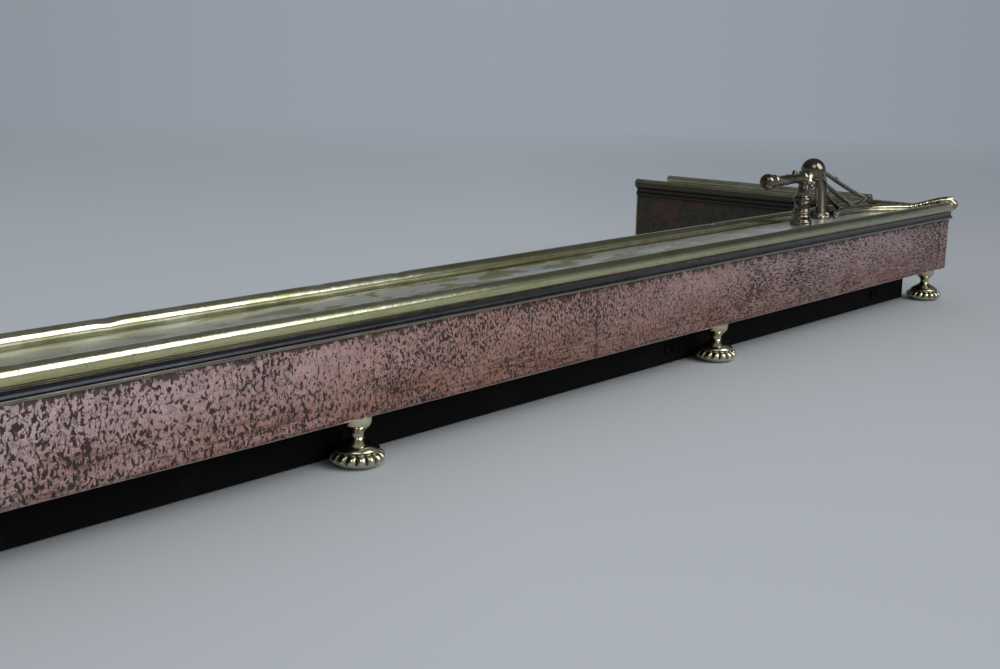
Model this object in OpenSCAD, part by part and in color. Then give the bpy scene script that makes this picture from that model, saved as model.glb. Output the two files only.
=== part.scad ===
// Fire fender: a hammered copper kerb with a rolled brass top rail, seven cast feet and a fire-iron rest at
// each front corner. X runs along the front, the hearth side is +Y, and the floor is Z = 0.

/* [Overall] */
// Length of the front, over the copper faces
fender_length = 1654; // [1500:2:1820]
// Depth of each return, from the front copper face to its rear end
return_depth = 344; // [320:2:420]
// Height of the top of the rail above the floor
rail_height = 101; // [99:1:112]

/* [Top rail] */
// Width of the rail, over its two beads
rail_width = 76; // [74:1:90]
// How far a bead stands out past the sheet under it
overhang = 5; // [4.5:0.1:6]
// Diameter of a rolled bead
bead_d = 10.5; // [9.5:0.1:11]
// Thickness of the brass sheet
brass_t = 1; // [0.8:0.1:1.2]
// Depth of the flat below the tops of the beads
flat_recess = 7.75; // [7.5:0.05:8.2]
// Height of the moulding, from the bead's top to the lip's lower edge
moulding_drop = 18.2; // [18:0.1:20]
// Radius of the cove under a bead
cove_r = 2.9; // [2.6:0.1:3]
// Radius of the small lip under the cove
lip_r = 1.4; // [1.2:0.1:1.6]

/* [Sheet walls] */
// Height of the copper's lower edge above the floor
skirt_bottom = 31.6; // [28:0.2:36]
// Thickness of the copper sheet
copper_t = 0.9; // [0.7:0.1:1.1]
// Height of the hem folded on the copper's lower edge
hem_h = 3; // [2:0.5:4]
// Width of the leaf that laps round each front corner
lap_w = 20; // [14:1:24]
// Thickness of the iron sheet
iron_t = 1.6; // [1.2:0.1:2]
// Distance of the plinth behind the copper face
plinth_setback = 30.5; // [30:0.5:33]
// Height of the iron's lower edge above the floor
iron_lift = 1; // [0.5:0.1:2]
// Width of the flange at the top of the plinth
flange_w = 16; // [14:1:18]
// Thickness of the core strip under the brass flat
strip_t = 3; // [2:0.5:4]
// Thickness of the plate that closes each rear end
end_plate_t = 1.2; // [1:0.1:1.6]

/* [Feet] */
// Diameter of a foot over its gadroons
foot_d = 35; // [32:1:35]
// Distance of a foot's axis behind the copper face
foot_inset = 12.5; // [12:0.1:12.9]
// Distance of a corner foot's axis from the end copper face
foot_end_inset = 18.5; // [18:0.5:20]
// Distance of a rear foot's axis from the rear end
rear_foot_inset = 42; // [30:1:60]
// Number of gadroons round a foot
gadroon_count = 16; // [14:1:20]
// Radius of a foot's neck
neck_r = 4; // [3.8:0.1:5]
// Diameter of a foot's stud
stud_d = 5; // [4:0.5:6]
// Thickness of a foot bracket
bracket_t = 2.5; // [2:0.1:3]
// Width of a foot bracket
bracket_w = 24; // [20:1:28]

/* [Fire-iron rest] */
// Distance of the pedestal's axis from the end copper face
post_along = 240; // [220:2:260]
// Distance of the pedestal's axis behind the front copper face
post_back = 40; // [38:1:42]
// Height of the post's crown above the rail
rest_rise = 52; // [46:1:60]
// Reach of the arm from the pedestal's axis to the middle of its knob
arm_reach = 65; // [56:1:80]
// Diameter of the knob on the arm
knob_d = 14.5; // [13:0.5:16]
// Thickness of the arm
arm_d = 9.4; // [7:0.2:10]
// Number of ribs in the fan
rib_count = 4; // [3:1:5]
// Thickness of a rib
rib_d = 3.6; // [3:0.1:4.4]
// Diameter of the knob on the outer corner of the rail
corner_knob_d = 11; // [10:0.5:12]
// Length of the cast shoulder along each return
shoulder_len = 84; // [70:1:90]

/* [Fits] */
// Gap round a shank in its hole
hole_gap = 0.15; // [0.1:0.05:0.3]
// Gap between a folded lip and the sheet that it hugs
fold_gap = 0.15; // [0.1:0.05:0.3]
// Diameter of a rivet's shank
rivet_d = 4; // [3:0.5:4]

/* [Hidden] */
$fn = 48;

BRASS = [0.62, 0.58, 0.36];
COPPER = [0.62, 0.42, 0.4];
IRON = [0.16, 0.15, 0.14];
STEEL = [0.45, 0.45, 0.46];

// Slack that keeps a cut clear of the face that it leaves
cut = 0.1;
bead_r = bead_d / 2;
bead_z = rail_height - bead_r;
flat_z = rail_height - flat_recess;
// Top of the cast shoulder at its inner edge
shoulder_top = rail_height - 2.5;
strip_top = flat_z - brass_t;
strip_bottom = strip_top - strip_t;
lip_z = rail_height - moulding_drop + lip_r;
lip_out = fold_gap + lip_r;
sheet_top = bead_z - bead_r - fold_gap;
wall_back = rail_width - 2 * overhang;
outer_bead_at = bead_r - overhang;
inner_bead_at = wall_back - outer_bead_at;
strip_margin = outer_bead_at + bead_r + 1.5;
strip_width = wall_back - 2 * strip_margin;
half = fender_length / 2;
// The corner knob stands furthest forward
knob_centre_out = 2;
knob_z = bead_z + 1.75;
front_reach = corner_knob_d / 2 + knob_centre_out;
front_y = -(return_depth - front_reach) / 2;
foot_top = skirt_bottom + 0.6;
foot_spacing = (fender_length - 2 * foot_end_inset) / 4;
rear_foot_back = return_depth - rear_foot_inset;
nut_h = 4;
head_h = 1.6;
rivet_r = rivet_d / 2;
stud_r = stud_d / 2;
tie_t = 2.5;
tie_tab = 12;
tie_w = 20;
tie_lift = iron_lift + 3;
angle_leg = 18;
rest_stud_r = 3;
post_z = flat_z;
crown_r = 11.6;
shoulder_width = 30;
shoulder_slope = 2.5;
shoulder_front = outer_bead_at + bead_r + 0.3;
tongue_t = 1.8;
tongue_top = flat_z + tongue_t;
tongue_screw_at = [54, 53];

// Places: along the front from the end copper face, then back from the front copper face
function on_floor(side, along, back) = [side * (half - along), front_y + back, 0];
FRONT_FEET = [
    [-1, foot_end_inset], [-1, foot_end_inset + foot_spacing], [1, half],
    [1, foot_end_inset + foot_spacing], [1, foot_end_inset]
];
// Points of a cubic curve, each with as many numbers as its handles
function cubic(p, t) =
    pow(1 - t, 3) * p[0] + 3 * t * pow(1 - t, 2) * p[1] + 3 * t * t * (1 - t) * p[2] + pow(t, 3) * p[3];
function curve(p, steps) = [for (i = [0 : steps]) cubic(p, i / steps)];
function unit(v) = v / norm(v);
function route_dir(route, i) = unit(route[min(i + 1, len(route) - 1)] - route[max(i - 1, 0)]);

module at_corner(side) {
    if (side > 0) translate([half, front_y, 0]) mirror([1, 0, 0]) children();
    else translate([-half, front_y, 0]) children();
}

// The middle of the front, seen from its right end
module at_middle() {
    at_corner(1) translate([half, 0, 0]) children();
}

// A round bar along a route, with its own radius at every point
module swept_bar(route, radii, sides = 12) {
    count = len(route);
    across = [for (i = [0 : count - 1]) unit(cross(route_dir(route, i), [0.05, 1, 0.1]))];
    up = [for (i = [0 : count - 1]) cross(route_dir(route, i), across[i])];
    points = [for (i = [0 : count - 1]) for (k = [0 : sides - 1])
        route[i] + radii[i] * (cos(360 * k / sides) * across[i] + sin(360 * k / sides) * up[i])];
    skin = [for (i = [0 : count - 2]) for (k = [0 : sides - 1]) for (half_face = [0, 1])
        half_face == 0
            ? [i * sides + k, (i + 1) * sides + k, i * sides + (k + 1) % sides]
            : [i * sides + (k + 1) % sides, (i + 1) * sides + k, (i + 1) * sides + (k + 1) % sides]];
    first_cap = [for (k = [0 : sides - 1]) k];
    last_cap = [for (k = [sides - 1 : -1 : 0]) (count - 1) * sides + k];
    polyhedron(points, concat([first_cap], skin, [last_cap]), convexity = 8);
}

// A ball, turned from its half section
module ball(r) {
    rotate_extrude() intersection() {
        circle(r);
        translate([0, -r]) square([r, 2 * r]);
    }
}

// Rail section: x runs inward from the copper face, y is the height
module edge_section(sheet_t) {
    translate([outer_bead_at, bead_z]) difference() {
        circle(bead_r);
        circle(bead_r - brass_t);
    }
    // The cove and lip that hug the outside of the sheet
    difference() {
        translate([-cove_r - fold_gap - 0.5, lip_z]) square([cove_r + 0.5, sheet_top + 1 - lip_z]);
        translate([-cove_r - fold_gap - 1.2, lip_z + lip_r + cove_r - 0.4]) circle(cove_r);
        translate([-cove_r - 4, lip_z - lip_r]) square([4 - 0.2, 2 * cove_r + lip_r]);
    }
    translate([-lip_out, lip_z]) circle(lip_r);
    // The leg that grips the sheet from inside
    translate([sheet_t + fold_gap, lip_z]) square([brass_t, sheet_top + 1.2 - lip_z]);
}

module rail_section() {
    edge_section(copper_t);
    translate([wall_back, 0]) mirror([1, 0]) edge_section(iron_t);
    flat_start = outer_bead_at + bead_r - 2 * brass_t;
    translate([flat_start, strip_top]) square([wall_back - 2 * flat_start, brass_t]);
}

// Holes for the two studs at a corner, in that corner's own places
stud_drill = 20;

module rest_stud_holes() {
    for (place = [[post_along, post_back], tongue_screw_at])
        translate([place[0], place[1], strip_bottom - stud_drill])
            cylinder(r = rest_stud_r + hole_gap, h = 3 * stud_drill);
}

// The part of a corner that the cast shoulder takes from the rails
module shoulder_space(gap, drop = 0) {
    translate([-overhang - 2, shoulder_front - gap, sheet_top + fold_gap - drop])
        cube([overhang + 2 + shoulder_width + gap, shoulder_len + 2 * gap, rail_height]);
}

module corner_cuts() {
    shoulder_space(0.1);
    translate([-knob_centre_out, -knob_centre_out, knob_z]) sphere(corner_knob_d / 2 + 0.1);
    rest_stud_holes();
}

// The half-space beyond the mitre, on the return's side of a corner
module mitre_space(past) {
    translate([-overhang, -overhang, 0])
        rotate([0, 0, past ? 45 : -135]) translate([-3 * rail_width, 0, -1])
            cube([8 * rail_width, 5 * rail_width, 3 * rail_height]);
}

module front_top_rail() {
    color(BRASS) difference() {
        translate([-half - overhang, front_y, 0]) rotate([90, 0, 90])
            linear_extrude(fender_length + 2 * overhang) rail_section();
        for (side = [-1, 1]) at_corner(side) {
            mitre_space(true);
            corner_cuts();
        }
    }
}

module side_top_rail(side) {
    color(BRASS) at_corner(side) difference() {
        translate([0, return_depth - end_plate_t, 0]) rotate([90, 0, 0])
            linear_extrude(return_depth + overhang) rail_section();
        mitre_space(false);
        corner_cuts();
    }
}

// Core strips: flat iron under the brass, between the beads
module front_core_strip() {
    color(IRON) difference() {
        translate([-half + strip_margin, front_y + strip_margin, strip_bottom])
            cube([fender_length - 2 * strip_margin, strip_width, strip_t]);
        for (side = [-1, 1]) at_corner(side) {
            shoulder_space(0.1, strip_t);
            rest_stud_holes();
            strip_rivet_places() rivet_hole();
        }
    }
}

module side_core_strip(side) {
    back = strip_margin + strip_width;
    color(IRON) at_corner(side) difference() {
        translate([strip_margin, back, strip_bottom])
            cube([strip_width, return_depth - end_plate_t - back, strip_t]);
        shoulder_space(0.1, strip_t);
        strip_rivet_places() rivet_hole();
    }
}

// Rivets through the plinth's flange, from the corner toward the middle
strip_rivet_start = 2 * shoulder_width;
strip_rivet_clear = 50;
strip_rivet_step = (half - strip_rivet_start - strip_rivet_clear) / 6;
strip_rivet_along = [for (i = [0 : 6]) strip_rivet_start + i * strip_rivet_step];
side_rivet_start = shoulder_front + shoulder_len + 12;
side_rivet_step = (return_depth - side_rivet_start - strip_rivet_clear) / 2;
strip_rivet_back = [for (i = [0 : 2]) side_rivet_start + i * side_rivet_step];
rivet_drill = 10;

module strip_rivet_places() {
    middle = plinth_setback + flange_w - rivet_r - 3;
    for (along = strip_rivet_along) translate([along, middle, strip_bottom]) children();
    for (back = strip_rivet_back) translate([middle, back, strip_bottom]) children();
}

module rivet_hole() {
    translate([0, 0, -rivet_drill]) cylinder(r = rivet_r + hole_gap, h = 3 * rivet_drill);
}

module strip_rivets() {
    color(IRON) for (side = [-1, 1]) at_corner(side) strip_rivet_places() {
        translate([0, 0, -iron_t]) cylinder(r = rivet_r, h = strip_t + iron_t);
        translate([0, 0, -iron_t - head_h]) cylinder(r = rivet_r + 1.5, h = head_h);
    }
}

// Iron plinth: upright sheet from the floor to the strip, with a flange turned back under the strip
module plinth_angle_section() {
    square([iron_t, strip_bottom - iron_lift]);
    translate([0, strip_bottom - iron_lift - iron_t]) square([flange_w, iron_t]);
}

module front_plinth() {
    color(IRON) difference() {
        translate([-half + plinth_setback, front_y + plinth_setback, iron_lift]) rotate([90, 0, 90])
            linear_extrude(fender_length - 2 * plinth_setback) plinth_angle_section();
        for (side = [-1, 1]) at_corner(side) {
            strip_rivet_places() rivet_hole();
            rest_stud_holes();
            bracket_rivet_places() side_hole();
            tie_rivet_places(true) side_hole();
            angle_rivet_places(plinth_setback) side_hole();
        }
        at_middle() bracket_rivet_pair_at(0) side_hole();
        at_middle() tie_rivet_pair(true) side_hole();
    }
}

module side_plinth(side) {
    // The sheet butts on the front plinth, and its flange starts past the front one
    sheet_start = plinth_setback + iron_t;
    flange_start = plinth_setback + flange_w + 0.1;
    sheet_h = strip_bottom - iron_lift - iron_t - 0.1;
    end = return_depth - end_plate_t;
    color(IRON) at_corner(side) difference() {
        translate([plinth_setback, 0, iron_lift]) {
            translate([0, sheet_start, 0]) cube([iron_t, end - sheet_start, sheet_h]);
            translate([0, flange_start, sheet_h]) cube([flange_w, end - flange_start, iron_t + 0.1]);
        }
        strip_rivet_places() rivet_hole();
        rear_places() bracket_rivet_pair() side_hole();
        rear_places() tie_rivet_pair(true) side_hole();
        angle_rivet_places(plinth_setback) side_hole();
    }
}

// Inner walls: plain iron sheet on the hearth side, gripped by the rail's inner fold
module front_inner_wall() {
    color(IRON) difference() {
        translate([-half + wall_back - iron_t, front_y + wall_back - iron_t, iron_lift])
            cube([fender_length - 2 * (wall_back - iron_t), iron_t, sheet_top - iron_lift]);
        for (side = [-1, 1]) at_corner(side) {
            tie_rivet_places(false) side_hole();
            angle_rivet_places(wall_back - iron_t) side_hole();
        }
        at_middle() tie_rivet_pair(false) side_hole();
    }
}

module side_inner_wall(side) {
    color(IRON) at_corner(side) difference() {
        translate([wall_back - iron_t, wall_back, iron_lift])
            cube([iron_t, return_depth - end_plate_t - wall_back, sheet_top - iron_lift]);
        rear_places() tie_rivet_pair(false) side_hole();
        angle_rivet_places(wall_back - iron_t) side_hole();
    }
}

// Angles that join the sheets in the corners of the channel
angle_end = 8;
angle_z = [skirt_bottom + 24.8, lip_z - 0.8 - angle_end];
angle_h = angle_z[1] - angle_z[0] + 2 * angle_end;

module corner_angle(side, at, inside) {
    // The leg pair sits behind the plinth, or in front of the inner wall
    color(IRON) at_corner(side) difference() {
        translate([at, at, angle_z[0] - angle_end]) {
            cube([angle_leg, iron_t, angle_h]);
            cube([iron_t, angle_leg, angle_h]);
        }
        angle_rivet_places(inside) side_hole();
    }
}

module plinth_angle(side) corner_angle(side, plinth_setback + iron_t, plinth_setback);

module wall_angle(side) {
    // Its legs point toward the copper, on the channel side of the inner walls
    color(IRON) at_corner(side) difference() {
        translate([wall_back - iron_t, wall_back - iron_t, angle_z[0] - angle_end]) {
            translate([0, -iron_t, 0]) cube([angle_leg, iron_t, angle_h]);
            translate([-iron_t, -iron_t, 0]) cube([iron_t, iron_t + 2 + angle_leg, angle_h]);
        }
        angle_rivet_places(wall_back - iron_t) side_hole();
    }
}

// Two rivets on each leg of an angle: axis along Y on the front sheet, along X on the side sheet
module angle_rivet_places(sheet) {
    for (z = angle_z) {
        translate([sheet + iron_t + angle_leg - 6, sheet, z]) rotate([-90, 0, 0]) children();
        translate([sheet, sheet + iron_t + angle_leg - 4, z]) rotate([0, 90, 0]) children();
    }
}

// A cross hole, drilled both ways from the sheet's face
module side_hole() {
    translate([0, 0, -8]) cylinder(r = rivet_r + hole_gap, h = 16);
}

module side_rivet(grip, start = 0) {
    translate([0, 0, start]) cylinder(r = rivet_r, h = grip);
    translate([0, 0, start + grip]) cylinder(r = rivet_r + 1.5, h = head_h);
    translate([0, 0, start - head_h]) cylinder(r = rivet_r + 1.5, h = head_h);
}

module angle_rivets() {
    color(IRON) for (side = [-1, 1]) at_corner(side) {
        angle_rivet_places(plinth_setback) side_rivet(2 * iron_t);
        angle_rivet_places(wall_back - iron_t) side_rivet(2 * iron_t, -iron_t);
    }
}

// Copper skirts: hammered sheet with a folded hem, its top edge gripped by the rail's outer fold
module front_copper_skirt() {
    color(COPPER) translate([-half + copper_t, front_y, skirt_bottom]) {
        cube([fender_length - 2 * copper_t, copper_t, sheet_top - skirt_bottom]);
        cube([fender_length - 2 * copper_t, 2 * copper_t, hem_h]);
    }
}

module side_copper_skirt(side) {
    color(COPPER) at_corner(side) translate([0, 0, skirt_bottom]) {
        cube([copper_t, return_depth - end_plate_t, sheet_top - skirt_bottom]);
        translate([0, 2 * copper_t, 0])
            cube([2 * copper_t, return_depth - end_plate_t - 2 * copper_t, hem_h]);
        translate([0, -copper_t, 0]) cube([lap_w, copper_t, lip_z - lip_r - fold_gap - skirt_bottom]);
    }
}

// Plate that closes the rear end of a return, in the outline of the rail and walls
module end_plate(side) {
    color(BRASS) at_corner(side) translate([0, return_depth, 0]) rotate([90, 0, 0])
        linear_extrude(end_plate_t) {
            translate([0, iron_lift + 2]) square([wall_back, sheet_top - iron_lift]);
            for (at = [outer_bead_at, inner_bead_at]) translate([at, bead_z]) circle(bead_r);
            translate([outer_bead_at, sheet_top]) square([inner_bead_at - outer_bead_at, flat_z - sheet_top]);
        }
}

// Feet
module foot() {
    rim_z = 5.6;
    rim_r = 3.6;
    lobe_r = 3;
    dome_r = 12.6;
    dome_z = 11.2;
    dome_h = 7;
    dome_ball = (dome_r * dome_r + dome_h * dome_h) / (2 * dome_h);
    flare_r = 9.2;
    color(BRASS) difference() {
        union() {
            cylinder(r = foot_d / 2 - 4, h = 3);
            translate([0, 0, rim_z - rim_r]) cylinder(r = foot_d / 2 - rim_r - 1, h = 2 * rim_r);
            translate([0, 0, rim_z]) rotate_extrude() translate([foot_d / 2 - rim_r - 1, 0]) circle(rim_r);
            for (i = [0 : gadroon_count - 1]) rotate([0, 0, 360 * (i + 0.5) / gadroon_count])
                translate([foot_d / 2 - lobe_r, 0, rim_z]) sphere(lobe_r);
            translate([0, 0, rim_z]) cylinder(r = dome_r - 1.4, h = dome_z - rim_z);
            translate([0, 0, dome_z - 1.2]) cylinder(r = dome_r, h = 1.3);
            intersection() {
                translate([0, 0, dome_z + dome_h - dome_ball]) sphere(dome_ball);
                translate([0, 0, dome_z]) cylinder(r = dome_r, h = dome_h);
            }
            translate([0, 0, dome_z + dome_h - 2]) cylinder(r = neck_r, h = foot_top - dome_z - dome_h);
            foot_flare(flare_r);
        }
        translate([0, 0, foot_top - 12]) cylinder(r = stud_r + hole_gap, h = 13);
    }
}

// The trumpet under the bracket: a cove swept round the neck
module foot_flare(flare_r) {
    flare_h = 12;
    cove = flare_h - 4.4;
    translate([0, 0, foot_top - flare_h]) rotate_extrude() difference() {
        square([flare_r, flare_h]);
        translate([neck_r + cove, 0]) circle(cove);
        translate([neck_r + 2, -cut]) square([flare_r, 5]);
    }
}

module front_foot(i) translate(on_floor(FRONT_FEET[i][0], FRONT_FEET[i][1], foot_inset)) foot();

module rear_foot(side) translate(on_floor(side, foot_inset, rear_foot_back)) foot();

module all_feet() {
    for (spot = FRONT_FEET) translate(on_floor(spot[0], spot[1], foot_inset)) children();
    for (side = [-1, 1]) translate(on_floor(side, foot_inset, rear_foot_back)) children();
}

module foot_studs() {
    color(STEEL) all_feet() translate([0, 0, foot_top - 12])
        cylinder(r = stud_r, h = 12 + bracket_t + nut_h + 2);
}

module foot_nuts() {
    color(STEEL) all_feet() translate([0, 0, foot_top + bracket_t]) difference() {
        cylinder(r = 4.6, h = nut_h, $fn = 6);
        translate([0, 0, -cut]) cylinder(r = stud_r + 0.05, h = nut_h + 2 * cut);
    }
}

// Brackets: a strap under the copper's hem, with one tab behind the copper and one riveted to the plinth
front_tab_h = 8;
back_tab_h = 16;

module foot_bracket(along, tab_along) {
    // along and tab_along: [start, length] of the strap and of its back tab
    front = copper_t * 2;
    difference() {
        translate([0, front, foot_top]) {
            translate([along[0], 0, 0]) cube([along[1], plinth_setback - front, bracket_t]);
            translate([along[0], 0, bracket_t]) cube([along[1], bracket_t, front_tab_h]);
            translate([tab_along[0], plinth_setback - front - bracket_t, bracket_t])
                cube([tab_along[1], bracket_t, back_tab_h]);
        }
        translate([0, foot_inset, foot_top - cut]) cylinder(r = stud_r + hole_gap, h = bracket_t + 2 * cut);
    }
}

bracket_rivet_z = foot_top + bracket_t + 9;
// A corner bracket's tab stands past the plinth's corner
corner_tab_at = plinth_setback - foot_end_inset + 3;

module front_bracket(i) {
    spot = FRONT_FEET[i];
    corner = abs(spot[1] - foot_end_inset) < 0.01;
    color(IRON) at_corner(spot[0]) translate([spot[1], 0, 0]) difference() {
        if (corner) foot_bracket([-12, corner_tab_at + 12 + bracket_w], [corner_tab_at, bracket_w]);
        else foot_bracket([-bracket_w / 2, bracket_w], [-bracket_w / 2, bracket_w]);
        bracket_rivet_pair_at(corner ? corner_tab_at + bracket_w / 2 : 0) side_hole();
    }
}

module bracket_rivet_pair_at(middle) {
    for (step = [-1, 1])
        translate([middle + step * 7, plinth_setback, bracket_rivet_z]) rotate([-90, 0, 0]) children();
}

module bracket_rivet_places() {
    translate([foot_end_inset, 0, 0]) bracket_rivet_pair_at(corner_tab_at + bracket_w / 2) children();
    translate([foot_end_inset + foot_spacing, 0, 0]) bracket_rivet_pair_at(0) children();
}

// What lies along the front, turned to lie along a return at its rear foot
module rear_places() {
    translate([0, rear_foot_back, 0]) mirror([1, -1, 0]) children();
}

module bracket_rivet_pair() bracket_rivet_pair_at(0) children();

module rear_bracket(side) {
    color(IRON) at_corner(side) rear_places() difference() {
        foot_bracket([-bracket_w / 2, bracket_w], [-bracket_w / 2, bracket_w]);
        bracket_rivet_pair_at(0) side_hole();
    }
}

module bracket_rivets() {
    color(IRON) for (side = [-1, 1]) at_corner(side) {
        bracket_rivet_places() side_rivet(iron_t + bracket_t, -bracket_t);
        rear_places() bracket_rivet_pair_at(0) side_rivet(iron_t + bracket_t, -bracket_t);
    }
    color(IRON) at_middle() bracket_rivet_pair_at(0) side_rivet(iron_t + bracket_t, -bracket_t);
}

// Ties: straps that hold the inner wall to the plinth near the floor
outer_tie_at = wall_back + 30;
mid_tie_at = foot_end_inset + foot_spacing + 40;
tie_rivet_z = tie_lift + tie_t + 6;

module tie() {
    start = plinth_setback + iron_t;
    reach = wall_back - iron_t - start;
    difference() {
        translate([-tie_w / 2, start, tie_lift]) {
            cube([tie_w, reach, tie_t]);
            cube([tie_w, tie_t, tie_t + tie_tab]);
            translate([0, reach - tie_t, 0]) cube([tie_w, tie_t, tie_t + tie_tab]);
        }
        tie_rivet_pair(true) side_hole();
        tie_rivet_pair(false) side_hole();
    }
}

module tie_rivet_pair(on_plinth) {
    for (step = [-1, 1])
        translate([step * 5, on_plinth ? plinth_setback : wall_back, tie_rivet_z])
            rotate([on_plinth ? -90 : 90, 0, 0]) children();
}

module tie_rivet_places(on_plinth) {
    for (along = [outer_tie_at, mid_tie_at]) translate([along, 0, 0]) tie_rivet_pair(on_plinth) children();
}

module front_tie(side, along) {
    color(IRON) at_corner(side) translate([along, 0, 0]) tie();
}

module rear_tie(side) {
    color(IRON) at_corner(side) rear_places() tie();
}

module tie_rivets() {
    color(IRON) for (on_plinth = [true, false]) {
        for (side = [-1, 1]) at_corner(side) {
            tie_rivet_places(on_plinth) side_rivet(iron_t + tie_t);
            rear_places() tie_rivet_pair(on_plinth) side_rivet(iron_t + tie_t);
        }
        at_middle() tie_rivet_pair(on_plinth) side_rivet(iron_t + tie_t);
    }
}

// Corner casting: a sloping shoulder on the return, a band that sweeps through the channel of the front rail
// and climbs to the corner, and the corner knob
band_plan = concat(
    curve([
        [0.7 * post_along, post_back + 2, 0], [0.58 * post_along, post_back + 16, 0],
        [0.43 * post_along, post_back + 10, 0], [shoulder_width + 32, shoulder_front + 20, 0]], 16),
    curve([
        [shoulder_width + 24, shoulder_front + 16, 0], [shoulder_width + 6, shoulder_front + 10, 0.5],
        [shoulder_width - 16, shoulder_front + 2.2, 8.6], [-knob_centre_out, -knob_centre_out, 7.75]], 10));
band_r = [for (i = [0 : len(band_plan) - 1]) 2.2 + 1.4 * sin(180 * i / (len(band_plan) - 1))];
band_route = [for (i = [0 : len(band_plan) - 1]) band_plan[i] + [0, 0, flat_z + 0.1 + band_r[i]]];

module shoulder_section() {
    edge_r = 3;
    top = shoulder_top - shoulder_slope;
    bottom = sheet_top + fold_gap + 0.1;
    polygon([
        [shoulder_width, bottom], [shoulder_width, shoulder_top],
        for (a = [80 : -20 : 0]) [-overhang + edge_r - edge_r * cos(a), top - edge_r + edge_r * sin(a)],
        [-overhang + 1, bottom]
    ]);
}

// The shoulder's tongue lies on the brass flat and takes the screw
module shoulder_tongue() {
    tongue_w = 13;
    root = shoulder_width - 4;
    translate([0, 0, flat_z]) linear_extrude(tongue_t) {
        translate([root, tongue_screw_at[1] - tongue_w / 2]) square([tongue_screw_at[0] - root, tongue_w]);
        translate(tongue_screw_at) circle(tongue_w / 2);
    }
}

module corner_casting(side) {
    color(BRASS) at_corner(side) difference() {
        union() {
            translate([0, shoulder_front + shoulder_len, 0]) rotate([90, 0, 0])
                linear_extrude(shoulder_len) shoulder_section();
            shoulder_tongue();
            swept_bar(band_route, band_r);
            // Stop that closes the end of the return's outer bead
            intersection() {
                translate([outer_bead_at, shoulder_front + shoulder_len, bead_z]) rotate([90, 0, 0])
                    cylinder(r = bead_r, h = 3);
                shoulder_space(-0.1);
            }
            // Root that joins the band to the shoulder
            translate([10, shoulder_front, shoulder_top - 5]) cube([16, 4.6, 7.6]);
            translate([-knob_centre_out, -knob_centre_out, knob_z]) ball(corner_knob_d / 2);
        }
        rest_stud_holes();
    }
}

// Rest post: a round pedestal, a stem and a second leg that meet under a crown
crown_at = [-17, 0, rest_rise + flat_recess - crown_r];
stem_route = curve([[0, 0, 21], [3, -1, 33], [-4, 0, 41], crown_at + [2, 0, -1]], 12);
stem_radii = [for (i = [0 : 12]) 6.8 - 1.2 * sin(180 * i / 12)];
leg_foot = [-58, 10.5, 0];
leg_route = curve([crown_at + [-3, 0, -2], [-36, -2, 38], [-44, 6, 22], leg_foot + [0, 0, 6]], 14);
leg_radii = [for (i = [0 : 14]) 6.2 - 2.2 * sin(90 * i / 14)];
arm_z = rail_height + 35;

module rest_post_body() {
    $fn = 32;
    translate([post_along, post_back, post_z]) {
        cylinder(r = 10, h = 4);
        cylinder(r = 8.4, h = 8);
        cylinder(r = 7.4, h = 25);
        translate([0, 0, 12]) rotate_extrude() translate([7.2, 0]) circle(1.3);
        translate([0, 0, 22]) cylinder(r = 8.8, h = 2.6);
        swept_bar(stem_route, stem_radii, 16);
        swept_bar(leg_route, leg_radii, 16);
        translate(crown_at) ball(crown_r);
        translate(leg_foot) cylinder(r = 5, h = 2.4);
        // Knot of small beads on the front of the stem
        for (turn = [-1 : 1]) translate([-5 + 3.6 * turn, -5, 35 + 2.4 * abs(turn)]) ball(2.4);
        // Trefoil round the second leg's foot
        for (turn = [-1 : 1])
            translate(leg_foot + [3.3 * turn, 2.7 * turn - 1.5, turn == 0 ? 8 : 3.2]) ball(3.2);
    }
}

module rest_post(side) {
    color(BRASS) at_corner(side) difference() {
        rest_post_body();
        translate([post_along, post_back, post_z - cut])
            cylinder(r = rest_stud_r + hole_gap, h = stud_in_post + 0.4);
        // Socket for the arm
        translate([post_along + arm_start - 10, post_back, arm_z])
            rotate([0, 90, 0]) cylinder(r = 3 + hole_gap, h = 40);
        translate([post_along + arm_start, post_back, arm_z])
            rotate([0, 90, 0]) cylinder(r = arm_d / 2 + 1 + hole_gap, h = 40);
    }
}

// Arm: a level bar with a nub, a collar and a round knob; its spigot goes into the post
arm_start = 2;

module rest_arm(side) {
    color(BRASS) at_corner(side) translate([post_along, post_back, arm_z]) {
        rotate([0, 90, 0]) {
            translate([0, 0, arm_start - 9]) cylinder(r = 3, h = 10);
            translate([0, 0, arm_start]) cylinder(r = arm_d / 2 + 1, h = 3);
            translate([0, 0, arm_start + 2]) cylinder(r = arm_d / 2, h = arm_reach - arm_start - 4);
            translate([0, 0, arm_reach - knob_d / 2 - 3]) cylinder(r = arm_d / 2 + 1.4, h = 3.4);
        }
        translate([arm_reach, 0, 0]) sphere(knob_d / 2);
        translate([18, 0, arm_d / 2 + 1]) sphere(2.4);
    }
}

// Fan: parallel ribs that fall from the crown and the leg to a bar along the rail
bar_r = 2.4;
bar_start = [post_along - 54, 55.5];
bar_end = [wall_back - 1, wall_back - 3];
function bar_point(t) = [
    bar_start[0] + (bar_end[0] - bar_start[0]) * t,
    bar_start[1] + (bar_end[1] - bar_start[1]) * (0.2 * t + 0.8 * pow(t, 8)),
    flat_z + 0.1 + bar_r + (flat_recess + 0.1) * pow(t, 3)];
bar_feet = [1, 0.7, 0.47, 0.26, 0.1];

module rest_fan(side) {
    color(BRASS) at_corner(side) difference() {
        union() {
            swept_bar([for (i = [0 : 14]) bar_point(i / 14)], [for (i = [0 : 14]) bar_r], 12);
            for (i = [0 : rib_count - 1]) fan_rib(i);
        }
        rest_post_body();
    }
}

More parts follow.
